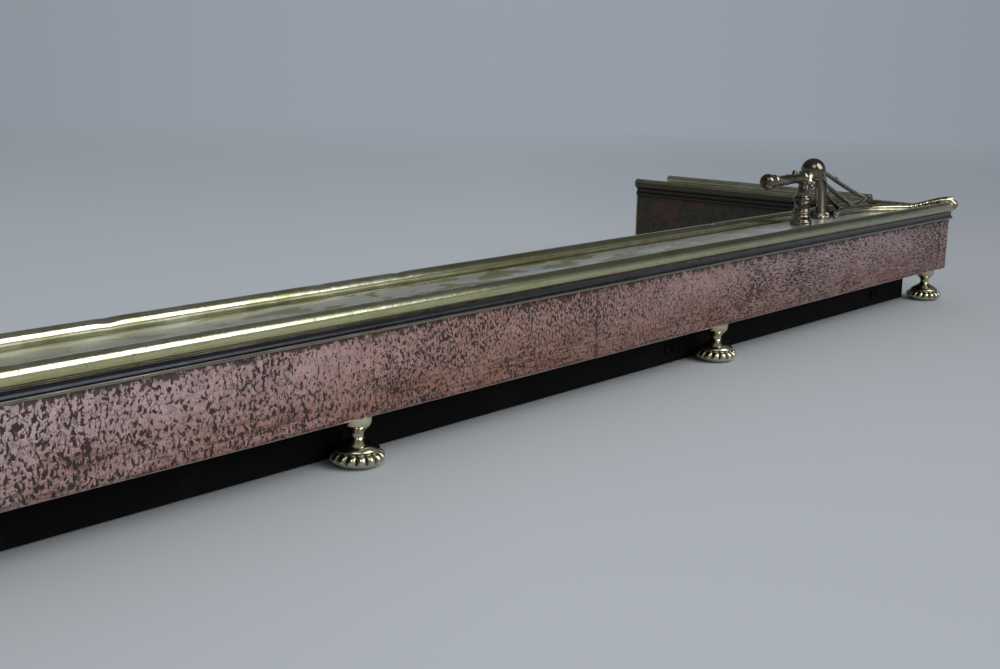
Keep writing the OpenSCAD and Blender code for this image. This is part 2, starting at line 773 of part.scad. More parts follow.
module fan_rib(i) {
    foot_at = bar_point(bar_feet[i]);
    // The first rib leaves the crown, and the others the leg
    top = [post_along, post_back, post_z] + (i == 0 ? crown_at + [-7, 1, 3] : leg_route[3 * i]);
    sag = [0, 0, -3];
    swept_bar(
        curve([top, top + (foot_at - top) / 3, top + (foot_at - top) * 2 / 3 + sag, foot_at], 8),
        [for (k = [0 : 8]) rib_d / 2], 8);
}

stud_below = 10;
stud_in_post = 12.8;

module rest_studs() {
    color(STEEL) for (side = [-1, 1]) at_corner(side)
        translate([post_along, post_back, strip_bottom - stud_below])
            cylinder(r = rest_stud_r, h = post_z + stud_in_post - strip_bottom + stud_below);
}

module corner_screws() {
    head_r = 5;
    head_rise = 2.2;
    ball = (head_r * head_r + head_rise * head_rise) / (2 * head_rise);
    color(BRASS) for (side = [-1, 1]) at_corner(side)
        translate([tongue_screw_at[0], tongue_screw_at[1], 0]) {
            translate([0, 0, strip_bottom - 8]) cylinder(r = rest_stud_r, h = tongue_top - strip_bottom + 8);
            intersection() {
                translate([0, 0, tongue_top + head_rise - ball]) sphere(ball);
                translate([0, 0, tongue_top]) cylinder(r = head_r + 1, h = head_rise + 1);
            }
        }
}

module rest_nuts() {
    color(STEEL) for (side = [-1, 1]) at_corner(side) {
        translate([post_along, post_back, strip_bottom - iron_t - nut_h]) stud_nut();
        translate([tongue_screw_at[0], tongue_screw_at[1], strip_bottom - nut_h]) stud_nut();
    }
}

module stud_nut() {
    difference() {
        cylinder(r = 5.4, h = nut_h, $fn = 6);
        translate([0, 0, -cut]) cylinder(r = rest_stud_r + 0.05, h = nut_h + 2 * cut);
    }
}

front_plinth();
side_plinth(-1);  // left_plinth
side_plinth(1);  // right_plinth
front_inner_wall();
side_inner_wall(-1);  // left_inner_wall
side_inner_wall(1);  // right_inner_wall
wall_angle(-1);  // left_wall_angle
wall_angle(1);  // right_wall_angle
plinth_angle(-1);  // left_plinth_angle
plinth_angle(1);  // right_plinth_angle
front_core_strip();
side_core_strip(-1);  // left_core_strip
side_core_strip(1);  // right_core_strip
front_copper_skirt();
side_copper_skirt(-1);  // left_copper_skirt
side_copper_skirt(1);  // right_copper_skirt
front_top_rail();
side_top_rail(-1);  // left_top_rail
side_top_rail(1);  // right_top_rail
end_plate(-1);  // left_end_plate
end_plate(1);  // right_end_plate
front_foot(0);  // front_left_corner_foot
front_foot(1);  // front_left_foot
front_foot(2);  // front_middle_foot
front_foot(3);  // front_right_foot
front_foot(4);  // front_right_corner_foot
rear_foot(-1);  // rear_left_foot
rear_foot(1);  // rear_right_foot
front_bracket(0);  // front_left_corner_bracket
front_bracket(1);  // front_left_bracket
front_bracket(2);  // front_middle_bracket
front_bracket(3);  // front_right_bracket
front_bracket(4);  // front_right_corner_bracket
rear_bracket(-1);  // rear_left_bracket
rear_bracket(1);  // rear_right_bracket
front_tie(-1, outer_tie_at);  // front_left_outer_tie
front_tie(-1, mid_tie_at);  // front_left_tie
front_tie(1, half);  // front_middle_tie
front_tie(1, mid_tie_at);  // front_right_tie
front_tie(1, outer_tie_at);  // front_right_outer_tie
rear_tie(-1);  // rear_left_tie
rear_tie(1);  // rear_right_tie
corner_casting(-1);  // left_corner_casting
corner_casting(1);  // right_corner_casting
rest_post(-1);  // left_rest_post
rest_post(1);  // right_rest_post
rest_arm(-1);  // left_rest_arm
rest_arm(1);  // right_rest_arm
rest_fan(-1);  // left_rest_fan
rest_fan(1);  // right_rest_fan
foot_studs();
foot_nuts();
rest_studs();
rest_nuts();
corner_screws();
strip_rivets();
bracket_rivets();
tie_rivets();
angle_rivets();
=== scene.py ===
import math

import bmesh
import bpy
import numpy as np
from mathutils import Matrix, Vector, noise

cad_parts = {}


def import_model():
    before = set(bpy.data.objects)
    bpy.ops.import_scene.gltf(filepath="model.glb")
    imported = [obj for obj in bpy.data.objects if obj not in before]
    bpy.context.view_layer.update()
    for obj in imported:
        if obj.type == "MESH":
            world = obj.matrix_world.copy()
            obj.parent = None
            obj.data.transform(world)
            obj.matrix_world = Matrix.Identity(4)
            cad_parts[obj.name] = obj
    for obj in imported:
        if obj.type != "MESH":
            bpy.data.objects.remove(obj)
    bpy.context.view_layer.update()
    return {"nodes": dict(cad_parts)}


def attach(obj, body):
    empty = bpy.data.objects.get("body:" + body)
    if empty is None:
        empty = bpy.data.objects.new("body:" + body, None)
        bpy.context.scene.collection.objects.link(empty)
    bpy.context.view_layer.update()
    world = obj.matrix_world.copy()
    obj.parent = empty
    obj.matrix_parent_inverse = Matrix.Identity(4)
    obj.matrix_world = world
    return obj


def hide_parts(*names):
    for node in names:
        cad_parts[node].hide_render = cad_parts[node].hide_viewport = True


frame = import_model()

# Sizes in millimetres, as in the CAD source. In a corner's own frame, along runs inward from the end
# copper's face, back runs from the front copper's face, and height from the floor.
MM = 0.001
LENGTH = 1654
DEPTH = 344
HEIGHT = 101
RAIL_WIDTH = 76
OVERHANG = 5
BEAD_R = 5.25
FLAT_RECESS = 7.75
MOULDING_DROP = 18.2
LIP_R = 1.4
COVE_R = 2.9
BRASS_T = 1
COPPER_T = 0.9
IRON_T = 1.6
END_T = 1.2
FOLD_GAP = 0.15
SKIRT_BOTTOM = 31.6
LEAF_W = 20
SHOULDER_LEN = 84
SHOULDER_W = 30
CORNER_KNOB_REACH = 7.5
FOOT_INSET = 12.5
FOOT_END_INSET = 18.5
REAR_FOOT_INSET = 42
POST = (240, 40)
CROWN = (-17, 0, 48.15)
LEG_FOOT = (-58, 10.5, 0)
ARM_Z = 136
ARM_REACH = 65
SCREW = (54, 53)

HALF = LENGTH / 2
FRONT_Y = -(DEPTH - CORNER_KNOB_REACH) / 2
REAR = DEPTH - END_T
BEAD_Z = HEIGHT - BEAD_R
BEAD_IN = BEAD_R - OVERHANG
FLAT_Z = HEIGHT - FLAT_RECESS
WALL = RAIL_WIDTH - 2 * OVERHANG
LIP_Z = HEIGHT - MOULDING_DROP + LIP_R
SHEET_TOP = BEAD_Z - BEAD_R - FOLD_GAP
SHOULDER_TOP = HEIGHT - 2.5
SHOULDER_FRONT = BEAD_IN + BEAD_R + 0.3
FOOT_SPACING = (LENGTH - 2 * FOOT_END_INSET) / 4
ARM_UP = ARM_Z - FLAT_Z


def place(side, points):
    """Takes points from a corner's frame, in millimetres, to the fender's frame, in metres."""
    p = np.asarray(points, float).reshape(-1, 3)
    return np.stack([side * (HALF - p[:, 0]), FRONT_Y + p[:, 1], p[:, 2]], 1) * MM


# ---------------------------------------------------------------- node tools

def set_stops(ramp, stops):
    """Gives a colour ramp its stops, each made at its own place so that they stay in order."""
    for at, _ in stops[1:-1]:
        ramp.elements.new(at)
    for element, (at, colour) in zip(ramp.elements, stops):
        element.position = at
        element.color = (*colour, 1)


def maths_node(tree, kind, *values):
    """The result of one sum, from numbers and sockets."""
    node = tree.nodes.new("ShaderNodeMath")
    node.operation = kind
    for socket, value in zip(node.inputs, values):
        if isinstance(value, bpy.types.NodeSocket):
            tree.links.new(value, socket)
        else:
            socket.default_value = value
    return node.outputs[0]


class Graph:
    """Short calls for building a material's nodes."""

    def __init__(self, name):
        self.mat = bpy.data.materials.new(name)
        self.mat.use_nodes = True
        self.tree = self.mat.node_tree
        self.tree.nodes.clear()
        self.out = self.tree.nodes.new("ShaderNodeOutputMaterial")
        self.coord = self.tree.nodes.new("ShaderNodeTexCoord").outputs["Object"]

    def node(self, kind, links=None, **settings):
        n = self.tree.nodes.new(kind)
        for key, value in settings.items():
            setattr(n, key, value)
        for key, value in (links or {}).items():
            socket = n.inputs[key]
            if isinstance(value, bpy.types.NodeSocket):
                self.tree.links.new(value, socket)
            else:
                socket.default_value = value
        return n

    def mapped(self, scale, vector=None):
        """Coordinates that are stretched along the axes with a small scale."""
        return self.node("ShaderNodeMapping", {"Vector": vector or self.coord, "Scale": scale}).outputs[0]

    def noise(self, scale, detail=3, rough=0.55, distortion=0.0, vector=None):
        return self.node("ShaderNodeTexNoise", {
            "Vector": vector or self.coord, "Scale": scale, "Detail": detail,
            "Roughness": rough, "Distortion": distortion}).outputs["Fac"]

    def drawn(self, scale, detail, rough, distortion=0.0):
        """Noise with its own scale on each axis."""
        return self.noise(1.0, detail, rough, distortion, vector=self.mapped(scale))

    def vector(self, kind, links, output=0):
        return self.node("ShaderNodeVectorMath", links, operation=kind).outputs[output]

    def ramp(self, fac, stops):
        n = self.node("ShaderNodeValToRGB", {"Fac": fac})
        set_stops(n.color_ramp, stops)
        return n.outputs["Color"]

    def along(self, stops):
        """A colour that changes along the fender, from (metres from the middle, colour) pairs."""
        first, last = stops[0][0], stops[-1][0]
        fac = self.step(self.axis("X"), first, last)
        return self.ramp(fac, [((x - first) / (last - first), colour) for x, colour in stops])

    def step(self, fac, low, high):
        """0 below low, 1 above high."""
        return self.node("ShaderNodeMapRange", {
            "Value": fac, "From Min": low, "From Max": high}).outputs[0]

    def blend(self, fac, a, b):
        """Value a where fac is 0 and b where it is 1."""
        return self.node("ShaderNodeMix", {0: fac, 2: a, 3: b}, data_type="FLOAT").outputs[0]

    def plus(self, a, b):
        return maths_node(self.tree, "ADD", a, b)

    def minus(self, a, b):
        return maths_node(self.tree, "SUBTRACT", a, b)

    def times(self, first, *others):
        for other in others:
            first = maths_node(self.tree, "MULTIPLY", first, other)
        return first

    def larger(self, a, b):
        return maths_node(self.tree, "MAXIMUM", a, b)

    def opposite(self, a):
        return self.minus(1.0, a)

    def off(self, a, centre=0.5):
        """Distance from the centre, either way."""
        return maths_node(self.tree, "ABSOLUTE", self.minus(a, centre))

    def mix(self, fac, a, b, kind="MIX"):
        n = self.node("ShaderNodeMix", data_type="RGBA", blend_type=kind)
        for index, value in ((0, fac), (6, a), (7, b)):
            if isinstance(value, bpy.types.NodeSocket):
                self.tree.links.new(value, n.inputs[index])
            elif index == 0:
                n.inputs[0].default_value = value
            else:
                n.inputs[index].default_value = (*value, 1)
        return n.outputs[2]

    def tint(self, fac, a, b):
        return self.mix(fac, a, b, "MULTIPLY")

    def bump(self, height, strength, distance, normal=None):
        links = {"Height": height, "Strength": strength, "Distance": distance}
        if normal is not None:
            links["Normal"] = normal
        return self.node("ShaderNodeBump", links).outputs[0]

    def grey(self, value):
        return self.node("ShaderNodeCombineColor", {"Red": value, "Green": value, "Blue": value}).outputs[0]

    def attribute(self, name):
        return self.node("ShaderNodeAttribute", attribute_name=name).outputs["Fac"]

    def axis(self, name):
        return self.node("ShaderNodeSeparateXYZ", {"Vector": self.coord}).outputs[name]

    def surface(self, colour, roughness, normal=None, metallic=1.0, **constants):
        links = {"Base Color": colour, "Roughness": roughness, "Metallic": metallic}
        if normal is not None:
            links["Normal"] = normal
        links.update(constants)
        shader = self.node("ShaderNodeBsdfPrincipled", links)
        self.tree.links.new(shader.outputs[0], self.out.inputs["Surface"])
        return self.mat


# ---------------------------------------------------------------- materials

# Colours of the rail's outer face from the lip up to the bead, by height in millimetres: brass patina
# with painted light. The thin bright line on the lip is a painted highlight, the near-black cove is oxide
# darkened further as painted shade, and the brown and yellow-green bands above are patina tones that also
# paint in reflections.
FACE_PATINA_AND_LIGHT = [
    (82.8, (0.10, 0.09, 0.06)), (83.6, (0.42, 0.38, 0.26)), (84.8, (0.05, 0.05, 0.05)),
    (86.0, (0.02, 0.022, 0.034)), (89.2, (0.026, 0.032, 0.046)), (90.6, (0.30, 0.26, 0.19)),
    (93.0, (0.60, 0.58, 0.31))]
# Painted reflection: the greyer tone the face turns toward on the right
FACE_GREY_REFLECTION = (0.30, 0.29, 0.28)
FACE_MOTTLE = (0.52, 0.50, 0.38)

# The flat grows lighter from left to right: duller metal at the left, and at the right a lighter tone that
# also paints in the backdrop's reflection. The beads' colour is full at the left and on the returns, and
# dimmed between as painted shade that weakens their highlights there.
FLAT_TONE_AND_REFLECTION = [(-0.2, (0.55, 0.57, 0.50)), (0.3, (0.95, 0.95, 0.93))]
FLAT_OLIVE = (0.50, 0.48, 0.20)
BEAD_SHEEN_RUN = [
    (0.08, (1.0, 1.0, 0.9)), (0.13, (0.65, 0.63, 0.47)), (0.74, (0.62, 0.60, 0.47)),
    (0.80, (1.0, 1.0, 0.88))]
TARNISH = (0.16, 0.145, 0.07)
# Dark tone for dirt with painted shade in hollows
GRIME_AND_SHADE = (0.045, 0.04, 0.03)
SPECKS = (0.06, 0.05, 0.03)

# The copper turns from pink at the left to orange-pink and back to a dusky pink
COPPER_RUN = [(-0.25, (0.82, 0.60, 0.60)), (0.10, (0.68, 0.40, 0.33)), (0.55, (0.66, 0.46, 0.44))]
COPPER_LOW = (0.88, 0.82, 0.78)
COPPER_RUBBED = (0.50, 0.46, 0.47)
COPPER_BROWN = (0.40, 0.20, 0.11)
COPPER_WARM = (0.80, 0.58, 0.42)
# Painted highlight along the sheet's bottom edge
COPPER_HEM_GLINT = (0.74, 0.60, 0.54)
COPPER_DARK = (0.05, 0.042, 0.04)
STAIN_AT = 0.222
# How far from a noise's middle a thin line is full, and where it ends
LINE_EDGE = (0.008, 0.028)


def face_colour(g):
    """Colours of the outer face, greyer to the right as painted reflection: a painted highlight on the lip,
    a cove dark with oxide and painted shade, a brown edge, then brass.
    """
    low, high = FACE_PATINA_AND_LIGHT[0][0], FACE_PATINA_AND_LIGHT[-1][0]
    wander = g.times(g.minus(g.noise(30, 4, 0.6), 0.5), 0.0011)
    fac = g.step(g.plus(g.axis("Z"), wander), low * MM, high * MM)
    colour = g.ramp(fac, [((z - low) / (high - low), tone) for z, tone in FACE_PATINA_AND_LIGHT])
    colour = g.mix(g.times(g.step(g.axis("X"), 0.0, 0.6), 0.55), colour, FACE_GREY_REFLECTION)
    mottle = g.step(g.drawn((70, 320, 320), 5, 0.65), 0.48, 0.72)
    return g.tint(g.times(mottle, 0.5), colour, FACE_MOTTLE)


def flat_colour(g):
    """The flat's tone, lighter to the right as painted reflection, with sharp-edged olive patches that are
    strongest just right of the middle.
    """
    patches = g.step(g.drawn((24, 62, 62), 4, 0.55, 0.5), 0.515, 0.53)
    left_fade = g.plus(g.times(g.step(g.axis("X"), -0.2, 0.02), 0.7), 0.3)
    right_fade = g.minus(0.85, g.times(g.step(g.axis("X"), 0.30, 0.45), 0.5))
    return g.tint(g.times(patches, right_fade, left_fade), g.along(FLAT_TONE_AND_REFLECTION), FLAT_OLIVE)


def flat_rough(g):
    """How much rougher the flat is than the beads: less so to the right."""
    return g.minus(0.24, g.times(g.step(g.axis("X"), 0, 0.3), 0.12))


def brass_material(name, bright, dark, tarnish, grime_and_shade_at, rough_at=0.16, rail=False):
    """Old brass: bright metal in darker clouds, streaks of olive tarnish, dirt with painted shade in
    hollows, dark specks.
    """
    g = Graph(name)
    clouds = g.noise(38, 5, 0.62)
    colour = g.mix(g.step(clouds, 0.35, 0.68), bright, dark)
    streaks = g.times(g.step(g.drawn((60, 260, 260), 4, 0.6), 0.5, 0.75), tarnish)
    # Dirt with painted shade: this field darkens the hollows
    grime = g.times(g.attribute("grime"), grime_and_shade_at)
    rough = g.plus(g.times(g.step(clouds, 0.3, 0.8), 0.12), rough_at)
    rough = g.plus(rough, g.times(grime, 0.35))
    dimples = 0.12
    if rail:
        flat = g.attribute("flat")
        off_flat = g.opposite(g.times(flat, 0.8))
        # The beads' colour is dimmed along the rail as painted shade on their highlights, and the flat's
        # tone is lightened to the right as painted reflection
        colour = g.mix(flat, g.tint(1.0, colour, g.along(BEAD_SHEEN_RUN)), flat_colour(g))
        streaks = g.times(streaks, off_flat)
        rough = g.plus(rough, g.times(flat, flat_rough(g)))
        dimples = g.times(off_flat, dimples)
    colour = g.mix(streaks, colour, TARNISH)
    if rail:
        # Painted light on the outer face: its zoned colours hold a painted highlight, painted shade and
        # painted reflections
        colour = g.mix(g.attribute("face"), colour, face_colour(g))
    colour = g.mix(grime, colour, GRIME_AND_SHADE)
    colour = g.mix(g.times(g.step(g.noise(420, 2, 0.5), 0.67, 0.72), 0.6), colour, SPECKS)
    return g.surface(colour, rough, g.bump(g.noise(160, 3, 0.5), dimples, 0.001))


def warped_places(g):
    """Coordinates pushed about by up to 2 mm, which makes the marks' edges ragged."""
    warp = g.node("ShaderNodeTexNoise", {"Vector": g.coord, "Scale": 120.0, "Detail": 2.0}).outputs["Color"]
    offset = g.vector("SUBTRACT", {0: warp, 1: (0.5, 0.5, 0.5)})
    offset = g.vector("SCALE", {0: offset, "Scale": 0.004})
    return g.vector("ADD", {0: g.coord, 1: offset})


def copper_blots(g, places):
    """Upright marks that grow smaller from the left, and level ones to the right, denser in swarms."""
    upright = g.mapped((0.95, 0.95, 0.62), places)
    level = g.mapped((0.26, 0.26, 1.2), places)
    left = g.noise(470, 3.2, 0.62, 0.3, vector=upright)
    middle = g.noise(640, 3.0, 0.62, 0.3, vector=upright)
    right = g.noise(640, 3.2, 0.62, 0.2, vector=level)
    marks = g.blend(g.step(g.axis("X"), -0.12, 0.10), left, middle)
    marks = g.blend(g.step(g.axis("X"), 0.18, 0.60), marks, right)
    swarm = g.times(g.minus(g.drawn((15, 15, 30), 3, 0.6), 0.5), 0.22)
    return g.step(g.plus(marks, swarm), 0.494, 0.555)


def copper_lines(g, places):
    """Thin curling lines, where a noise crosses its middle."""
    crossing = g.off(g.noise(210, 2.5, 0.55, 0.9, vector=places))
    where = g.step(g.noise(34, 3, 0.6), 0.42, 0.54)
    return g.times(g.opposite(g.step(crossing, *LINE_EDGE)), 0.75, where)


def copper_streaks(g, low):
    """Level streaks, faint above and stronger on the low part."""
    streaks = g.step(g.drawn((38, 38, 420), 4, 0.62, 0.4), 0.53, 0.62)
    return g.times(streaks, g.plus(0.12, g.times(low, 0.5)))


def copper_scratches(g, low):
    """Long level scratches low on the sheet."""
    crossing = g.off(g.drawn((11, 11, 240), 3, 0.6, 0.5))
    where = g.step(g.drawn((16, 16, 60), 3, 0.6), 0.44, 0.58)
    return g.times(g.opposite(g.step(crossing, *LINE_EDGE)), low, where)


def copper_stain(g):
    """One narrow dark run down the front sheet."""
    wander = g.times(g.minus(g.noise(150, 3, 0.6), 0.5), 0.012)
    aside = g.plus(g.off(g.axis("X"), STAIN_AT), wander)
    return g.times(g.opposite(g.step(aside, 0.0005, 0.0035)), 0.8)


def copper_top_band(g):
    """A dark band under the rail, with fingers that reach down."""
    drop = g.times(g.minus(g.drawn((210, 210, 190), 3, 0.6, 0.3), 0.5), 0.026)
    return g.times(g.step(g.plus(g.axis("Z"), drop), 0.0792, 0.0812), 0.9)


def copper_pink(g, low, streaks, hem_glint):
    """The bare copper between the marks: rubbed duller in clouds, browner low down, lightened on the hem as
    a painted highlight.
    """
    pink = g.tint(low, g.along(COPPER_RUN), COPPER_LOW)
    pink = g.tint(g.times(g.step(g.noise(170, 5, 0.7), 0.36, 0.64), 0.52), pink, COPPER_RUBBED)
    pink = g.mix(g.times(streaks, low, 0.6), pink, COPPER_BROWN)
    warm = g.step(g.drawn((20, 20, 70), 4, 0.65, 0.4), 0.42, 0.62)
    pink = g.tint(g.times(warm, low, 0.55), pink, COPPER_WARM)
    return g.mix(g.times(hem_glint, 0.8), pink, COPPER_HEM_GLINT)


def copper_material():
    """Hammered copper: ragged dark marks, thin curling lines and streaks between rubbed pink islands."""
    g = Graph("copper_patina")
    places = warped_places(g)
    low = g.opposite(g.step(g.axis("Z"), 0.040, 0.066))
    # Painted highlight: a thin band along the bottom edge, kept clear of marks below
    hem_glint = g.opposite(g.step(g.axis("Z"), 0.0320, 0.0326))
    streaks = copper_streaks(g, low)
    fine = g.times(g.step(g.noise(900, 2, 0.6), 0.54, 0.64), 0.4)
    cover = copper_blots(g, places)
    for layer in (copper_lines(g, places), streaks, fine, copper_top_band(g), copper_scratches(g, low),
                  copper_stain(g)):
        cover = g.larger(cover, layer)
    cover = g.times(cover, g.minus(0.96, g.times(hem_glint, 0.6)))
    colour = g.mix(cover, copper_pink(g, low, streaks, hem_glint), COPPER_DARK)
    normal = g.bump(g.opposite(cover), 0.35, 0.0004)
    normal = g.bump(g.noise(140, 3, 0.5), 0.25, 0.001, normal)
    return g.surface(colour, g.plus(0.40, g.times(cover, 0.2)), normal)


def iron_material(name, base, rust, amount):
    """Blackened sheet iron with blooms of rust."""
    g = Graph(name)
    blooms = g.noise(22, 6, 0.65, 0.4)
    fine = g.noise(240, 4, 0.6)
    colour = g.mix(g.step(fine, 0.35, 0.7), base, tuple(c * 1.7 for c in base))
    colour = g.mix(g.times(g.step(blooms, 0.52, 0.7), amount), colour, rust)
    rough = g.plus(0.52, g.times(fine, 0.3))
    return g.surface(colour, rough, g.bump(fine, 0.3, 0.0006), metallic=0.0, **{"Specular IOR Level": 0.05})


def steel_material():
    """Turned steel, with rings of a lighter and duller tone."""
    g = Graph("dull_steel")
    turned = g.drawn((300, 300, 1800), 3, 0.5)
    colour = g.mix(turned, (0.16, 0.155, 0.15), (0.34, 0.33, 0.32))
    return g.surface(colour, g.plus(0.3, g.times(turned, 0.25)), g.bump(turned, 0.15, 0.0003))


RAIL_BRASS = brass_material("rail_brass", (0.68, 0.68, 0.57), (0.36, 0.365, 0.23), 0.35, 0.9, rail=True)
CAST_BRASS = brass_material("cast_brass", (0.30, 0.275, 0.215), (0.065, 0.052, 0.037), 0.45, 1.0, 0.08)
# A lighter copy of the cast brass, painted light for the fan and corner pieces
LIT_CAST = brass_material("lit_cast_brass", (0.47, 0.44, 0.31), (0.15, 0.125, 0.082), 0.42, 1.0, 0.08)
FOOT_BRASS = brass_material("foot_brass", (0.74, 0.72, 0.54), (0.50, 0.46, 0.32), 0.15, 1.0, 0.12)
COPPER = copper_material()
BLACK_IRON = iron_material("black_iron", (0.0025, 0.0026, 0.0022), (0.012, 0.008, 0.005), 0.5)
INNER_IRON = iron_material("inner_iron", (0.028, 0.025, 0.02), (0.10, 0.035, 0.025), 0.9)
DULL_STEEL = steel_material()


# ---------------------------------------------------------------- mesh tools

def add_mesh(name, points, faces, material, slot, replaced=(), sharp=40, **fields):
    """A smooth-shaded piece with outward faces, its edges sharp beyond an angle, and its point fields."""
    mesh = bpy.data.meshes.new(name)
    mesh.from_pydata([tuple(p) for p in points], [], [tuple(f) for f in faces])
    mesh.validate()
    mesh.polygons.foreach_set("use_smooth", [True] * len(mesh.polygons))
    for field, values in fields.items():
        mesh.attributes.new(field, "FLOAT", "POINT").data.foreach_set("value", np.clip(values, 0, 1))
    obj = bpy.data.objects.new(name, mesh)
    bpy.context.scene.collection.objects.link(obj)
    mesh.materials.append(material)
    finish_piece(obj, slot, replaced)
    outward(obj)
    sharpen(obj, sharp)


def finish_piece(obj, slot, replaced):
    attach(obj, "root")
    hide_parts(*replaced)


def outward(obj):
    """Turns every face outward."""
    bm = bmesh.new()
    bm.from_mesh(obj.data)
    bmesh.ops.recalc_face_normals(bm, faces=bm.faces)
    bm.to_mesh(obj.data)
    bm.free()


def sharpen(obj, angle):
    """Marks edges sharper than the angle, so that smooth shading stops there."""
    bm = bmesh.new()
    bm.from_mesh(obj.data)
    limit = math.radians(angle)
    for edge in bm.edges:
        edge.smooth = len(edge.link_faces) != 2 or edge.calc_face_angle(0) < limit
    bm.to_mesh(obj.data)
    bm.free()


def grid_faces(rows, columns, wrap_columns=False):
    """Quads between rows of points, and across the seam where the columns wrap."""
    span = columns if wrap_columns else columns - 1
    r, c = np.meshgrid(np.arange(rows - 1), np.arange(span), indexing="ij")
    here, below = r.ravel() * columns, (r.ravel() + 1) * columns
    c = c.ravel()
    n = (c + 1) % columns
    return np.stack([here + c, here + n, below + n, below + c], 1).tolist()


def loft(rings):
    """Closed loops of equal length, joined and capped. Returns points and faces."""
    rings = np.asarray(rings)
    rows, columns = rings.shape[:2]
    faces = grid_faces(rows, columns, True)
    faces.append(list(range(columns))[::-1])
    faces.append([(rows - 1) * columns + i for i in range(columns)])
    return rings.reshape(-1, 3), faces


# A direction that no bar runs along
ASIDE = (0.05, 1, 0.1)


def tube(route, radii, sides=20):
    """A round bar along a route of corner-frame points."""
    route = np.asarray(route, float)
    radii = np.broadcast_to(radii, len(route))
    ahead = np.gradient(route, axis=0)
    ahead /= np.linalg.norm(ahead, axis=1)[:, None]
    across = np.cross(ahead, ASIDE)
    across /= np.linalg.norm(across, axis=1)[:, None]
    up = np.cross(ahead, across)
    turn = np.linspace(0, 2 * math.pi, sides, endpoint=False)
    rings = route[:, None] + radii[:, None, None] * (
        np.cos(turn)[None, :, None] * across[:, None] + np.sin(turn)[None, :, None] * up[:, None])
    return loft(rings)


def ball(centre, radius, sides=24):
    """A ball with a very small flat at each pole."""
    tilt = np.linspace(0.02, math.pi - 0.02, sides // 2)
    turn = np.linspace(0, 2 * math.pi, sides, endpoint=False)
    rings = [[(math.sin(a) * math.cos(b), math.sin(a) * math.sin(b), math.cos(a)) for b in turn]
             for a in tilt]
    points, faces = loft(np.asarray(rings) * radius)
    return points + np.asarray(centre), faces


def lathe(profile, sides=40):
    """A turned form from (radius, height) pairs, bottom to top."""
    turn = np.linspace(0, 2 * math.pi, sides, endpoint=False)
    return loft([[(r * math.cos(a), r * math.sin(a), z) for a in turn] for r, z in profile])


def slab(corners, heights):
    """An upright block on the given (along, back) corners."""
    return loft([[(x, y, z) for x, y in corners] for z in heights])


def moved(shell, offset):
    return shell[0] + np.asarray(offset), shell[1]


def join(shells):
    """Several shells as one list of points and one of faces."""
    points, faces, start = [], [], 0
    for p, f in shells:
        points.append(np.asarray(p, float))
        faces.extend([[i + start for i in face] for face in f])
        start += len(p)
    return np.concatenate(points), faces


def bezier(handles, steps):
    """Points of a curve with four handles."""
    t = np.linspace(0, 1, steps + 1)[:, None]
    a, b, c, d = (np.asarray(h, float) for h in handles)
    return (1 - t) ** 3 * a + 3 * t * (1 - t) ** 2 * b + 3 * t * t * (1 - t) * c + t ** 3 * d


def ripple(points, scale, seed):
    """Smooth noise at points in metres, about -1 to 1."""
    shift = Vector((seed, seed * 0.7, seed * 1.3))
    return np.array([noise.noise(Vector(p) * scale + shift) for p in points])


# ---------------------------------------------------------------- brass rail

COVE_AT = (-4.25, 88.1)

# Dents: distance from the right end, back, spread along, spread across, depth
DENTS = [
    (968, 64, 4, 3, 1.1), (734, 65, 4, 3, 1.2), (807, 64, 3, 3, 0.7), (742, 1, 3, 3, 0.9),
    (785, 2, 2.5, 3, 0.9), (798, 2, 2, 3, 0.6), (770, 30, 30, 14, 0.35), (640, 38, 40, 10, 0.3),
    (505, 33, 26, 12, 0.35), (430, 28, 18, 9, 0.3), (330, 65, 5, 3, 0.7), (1100, 0, 5, 3, 0.6),
    (1180, 64, 4, 3, 0.7), (150, 2, 5, 3, 0.4), (700, 0, 60, 6, 0.25)]


def arc(cx, cz, r, start, end, steps):
    """Points of an arc, in degrees from +x toward +z."""
    a = np.radians(np.linspace(start, end, steps))
    return np.stack([cx + r * np.cos(a), cz + r * np.sin(a)], 1)


def edge_outline(sheet):
    """One edge of the rail, from the fold inside the sheet round the lip, cove and bead to the flat."""
    bead_end = math.degrees(math.asin((FLAT_Z - BEAD_Z) / BEAD_R))
    bead_foot = BEAD_IN + BEAD_R * math.cos(math.radians(bead_end))
    inside = sheet + FOLD_GAP
    return np.concatenate([
        [[inside + BRASS_T, FLAT_Z - BRASS_T], [inside + BRASS_T, LIP_Z], [inside, LIP_Z],
         [inside, SHEET_TOP + FOLD_GAP], [-FOLD_GAP, SHEET_TOP + FOLD_GAP], [-FOLD_GAP, LIP_Z - 0.3]],
        arc(-FOLD_GAP - LIP_R, LIP_Z, LIP_R, -30, -250, 12),
        arc(*COVE_AT, COVE_R, -48, 34, 9),
        arc(BEAD_IN, BEAD_Z, BEAD_R, -106, -360 + bead_end, 27),
        [[bead_foot + 0.4, FLAT_Z - 0.1], [BEAD_IN + BEAD_R + 1.3, FLAT_Z - 0.05]]])


def rail_outline():
    """The rail's whole section, with the edge on the hearth side as the mirror image of the outer one."""
    near = edge_outline(COPPER_T)
    far = edge_outline(IRON_T)[::-1] * (-1, 1) + (WALL, 0)
    flat = np.stack([np.linspace(near[-1, 0], far[0, 0], 12)[1:-1], np.full(10, FLAT_Z - 0.03)], 1)
    return np.concatenate([near, flat, far])


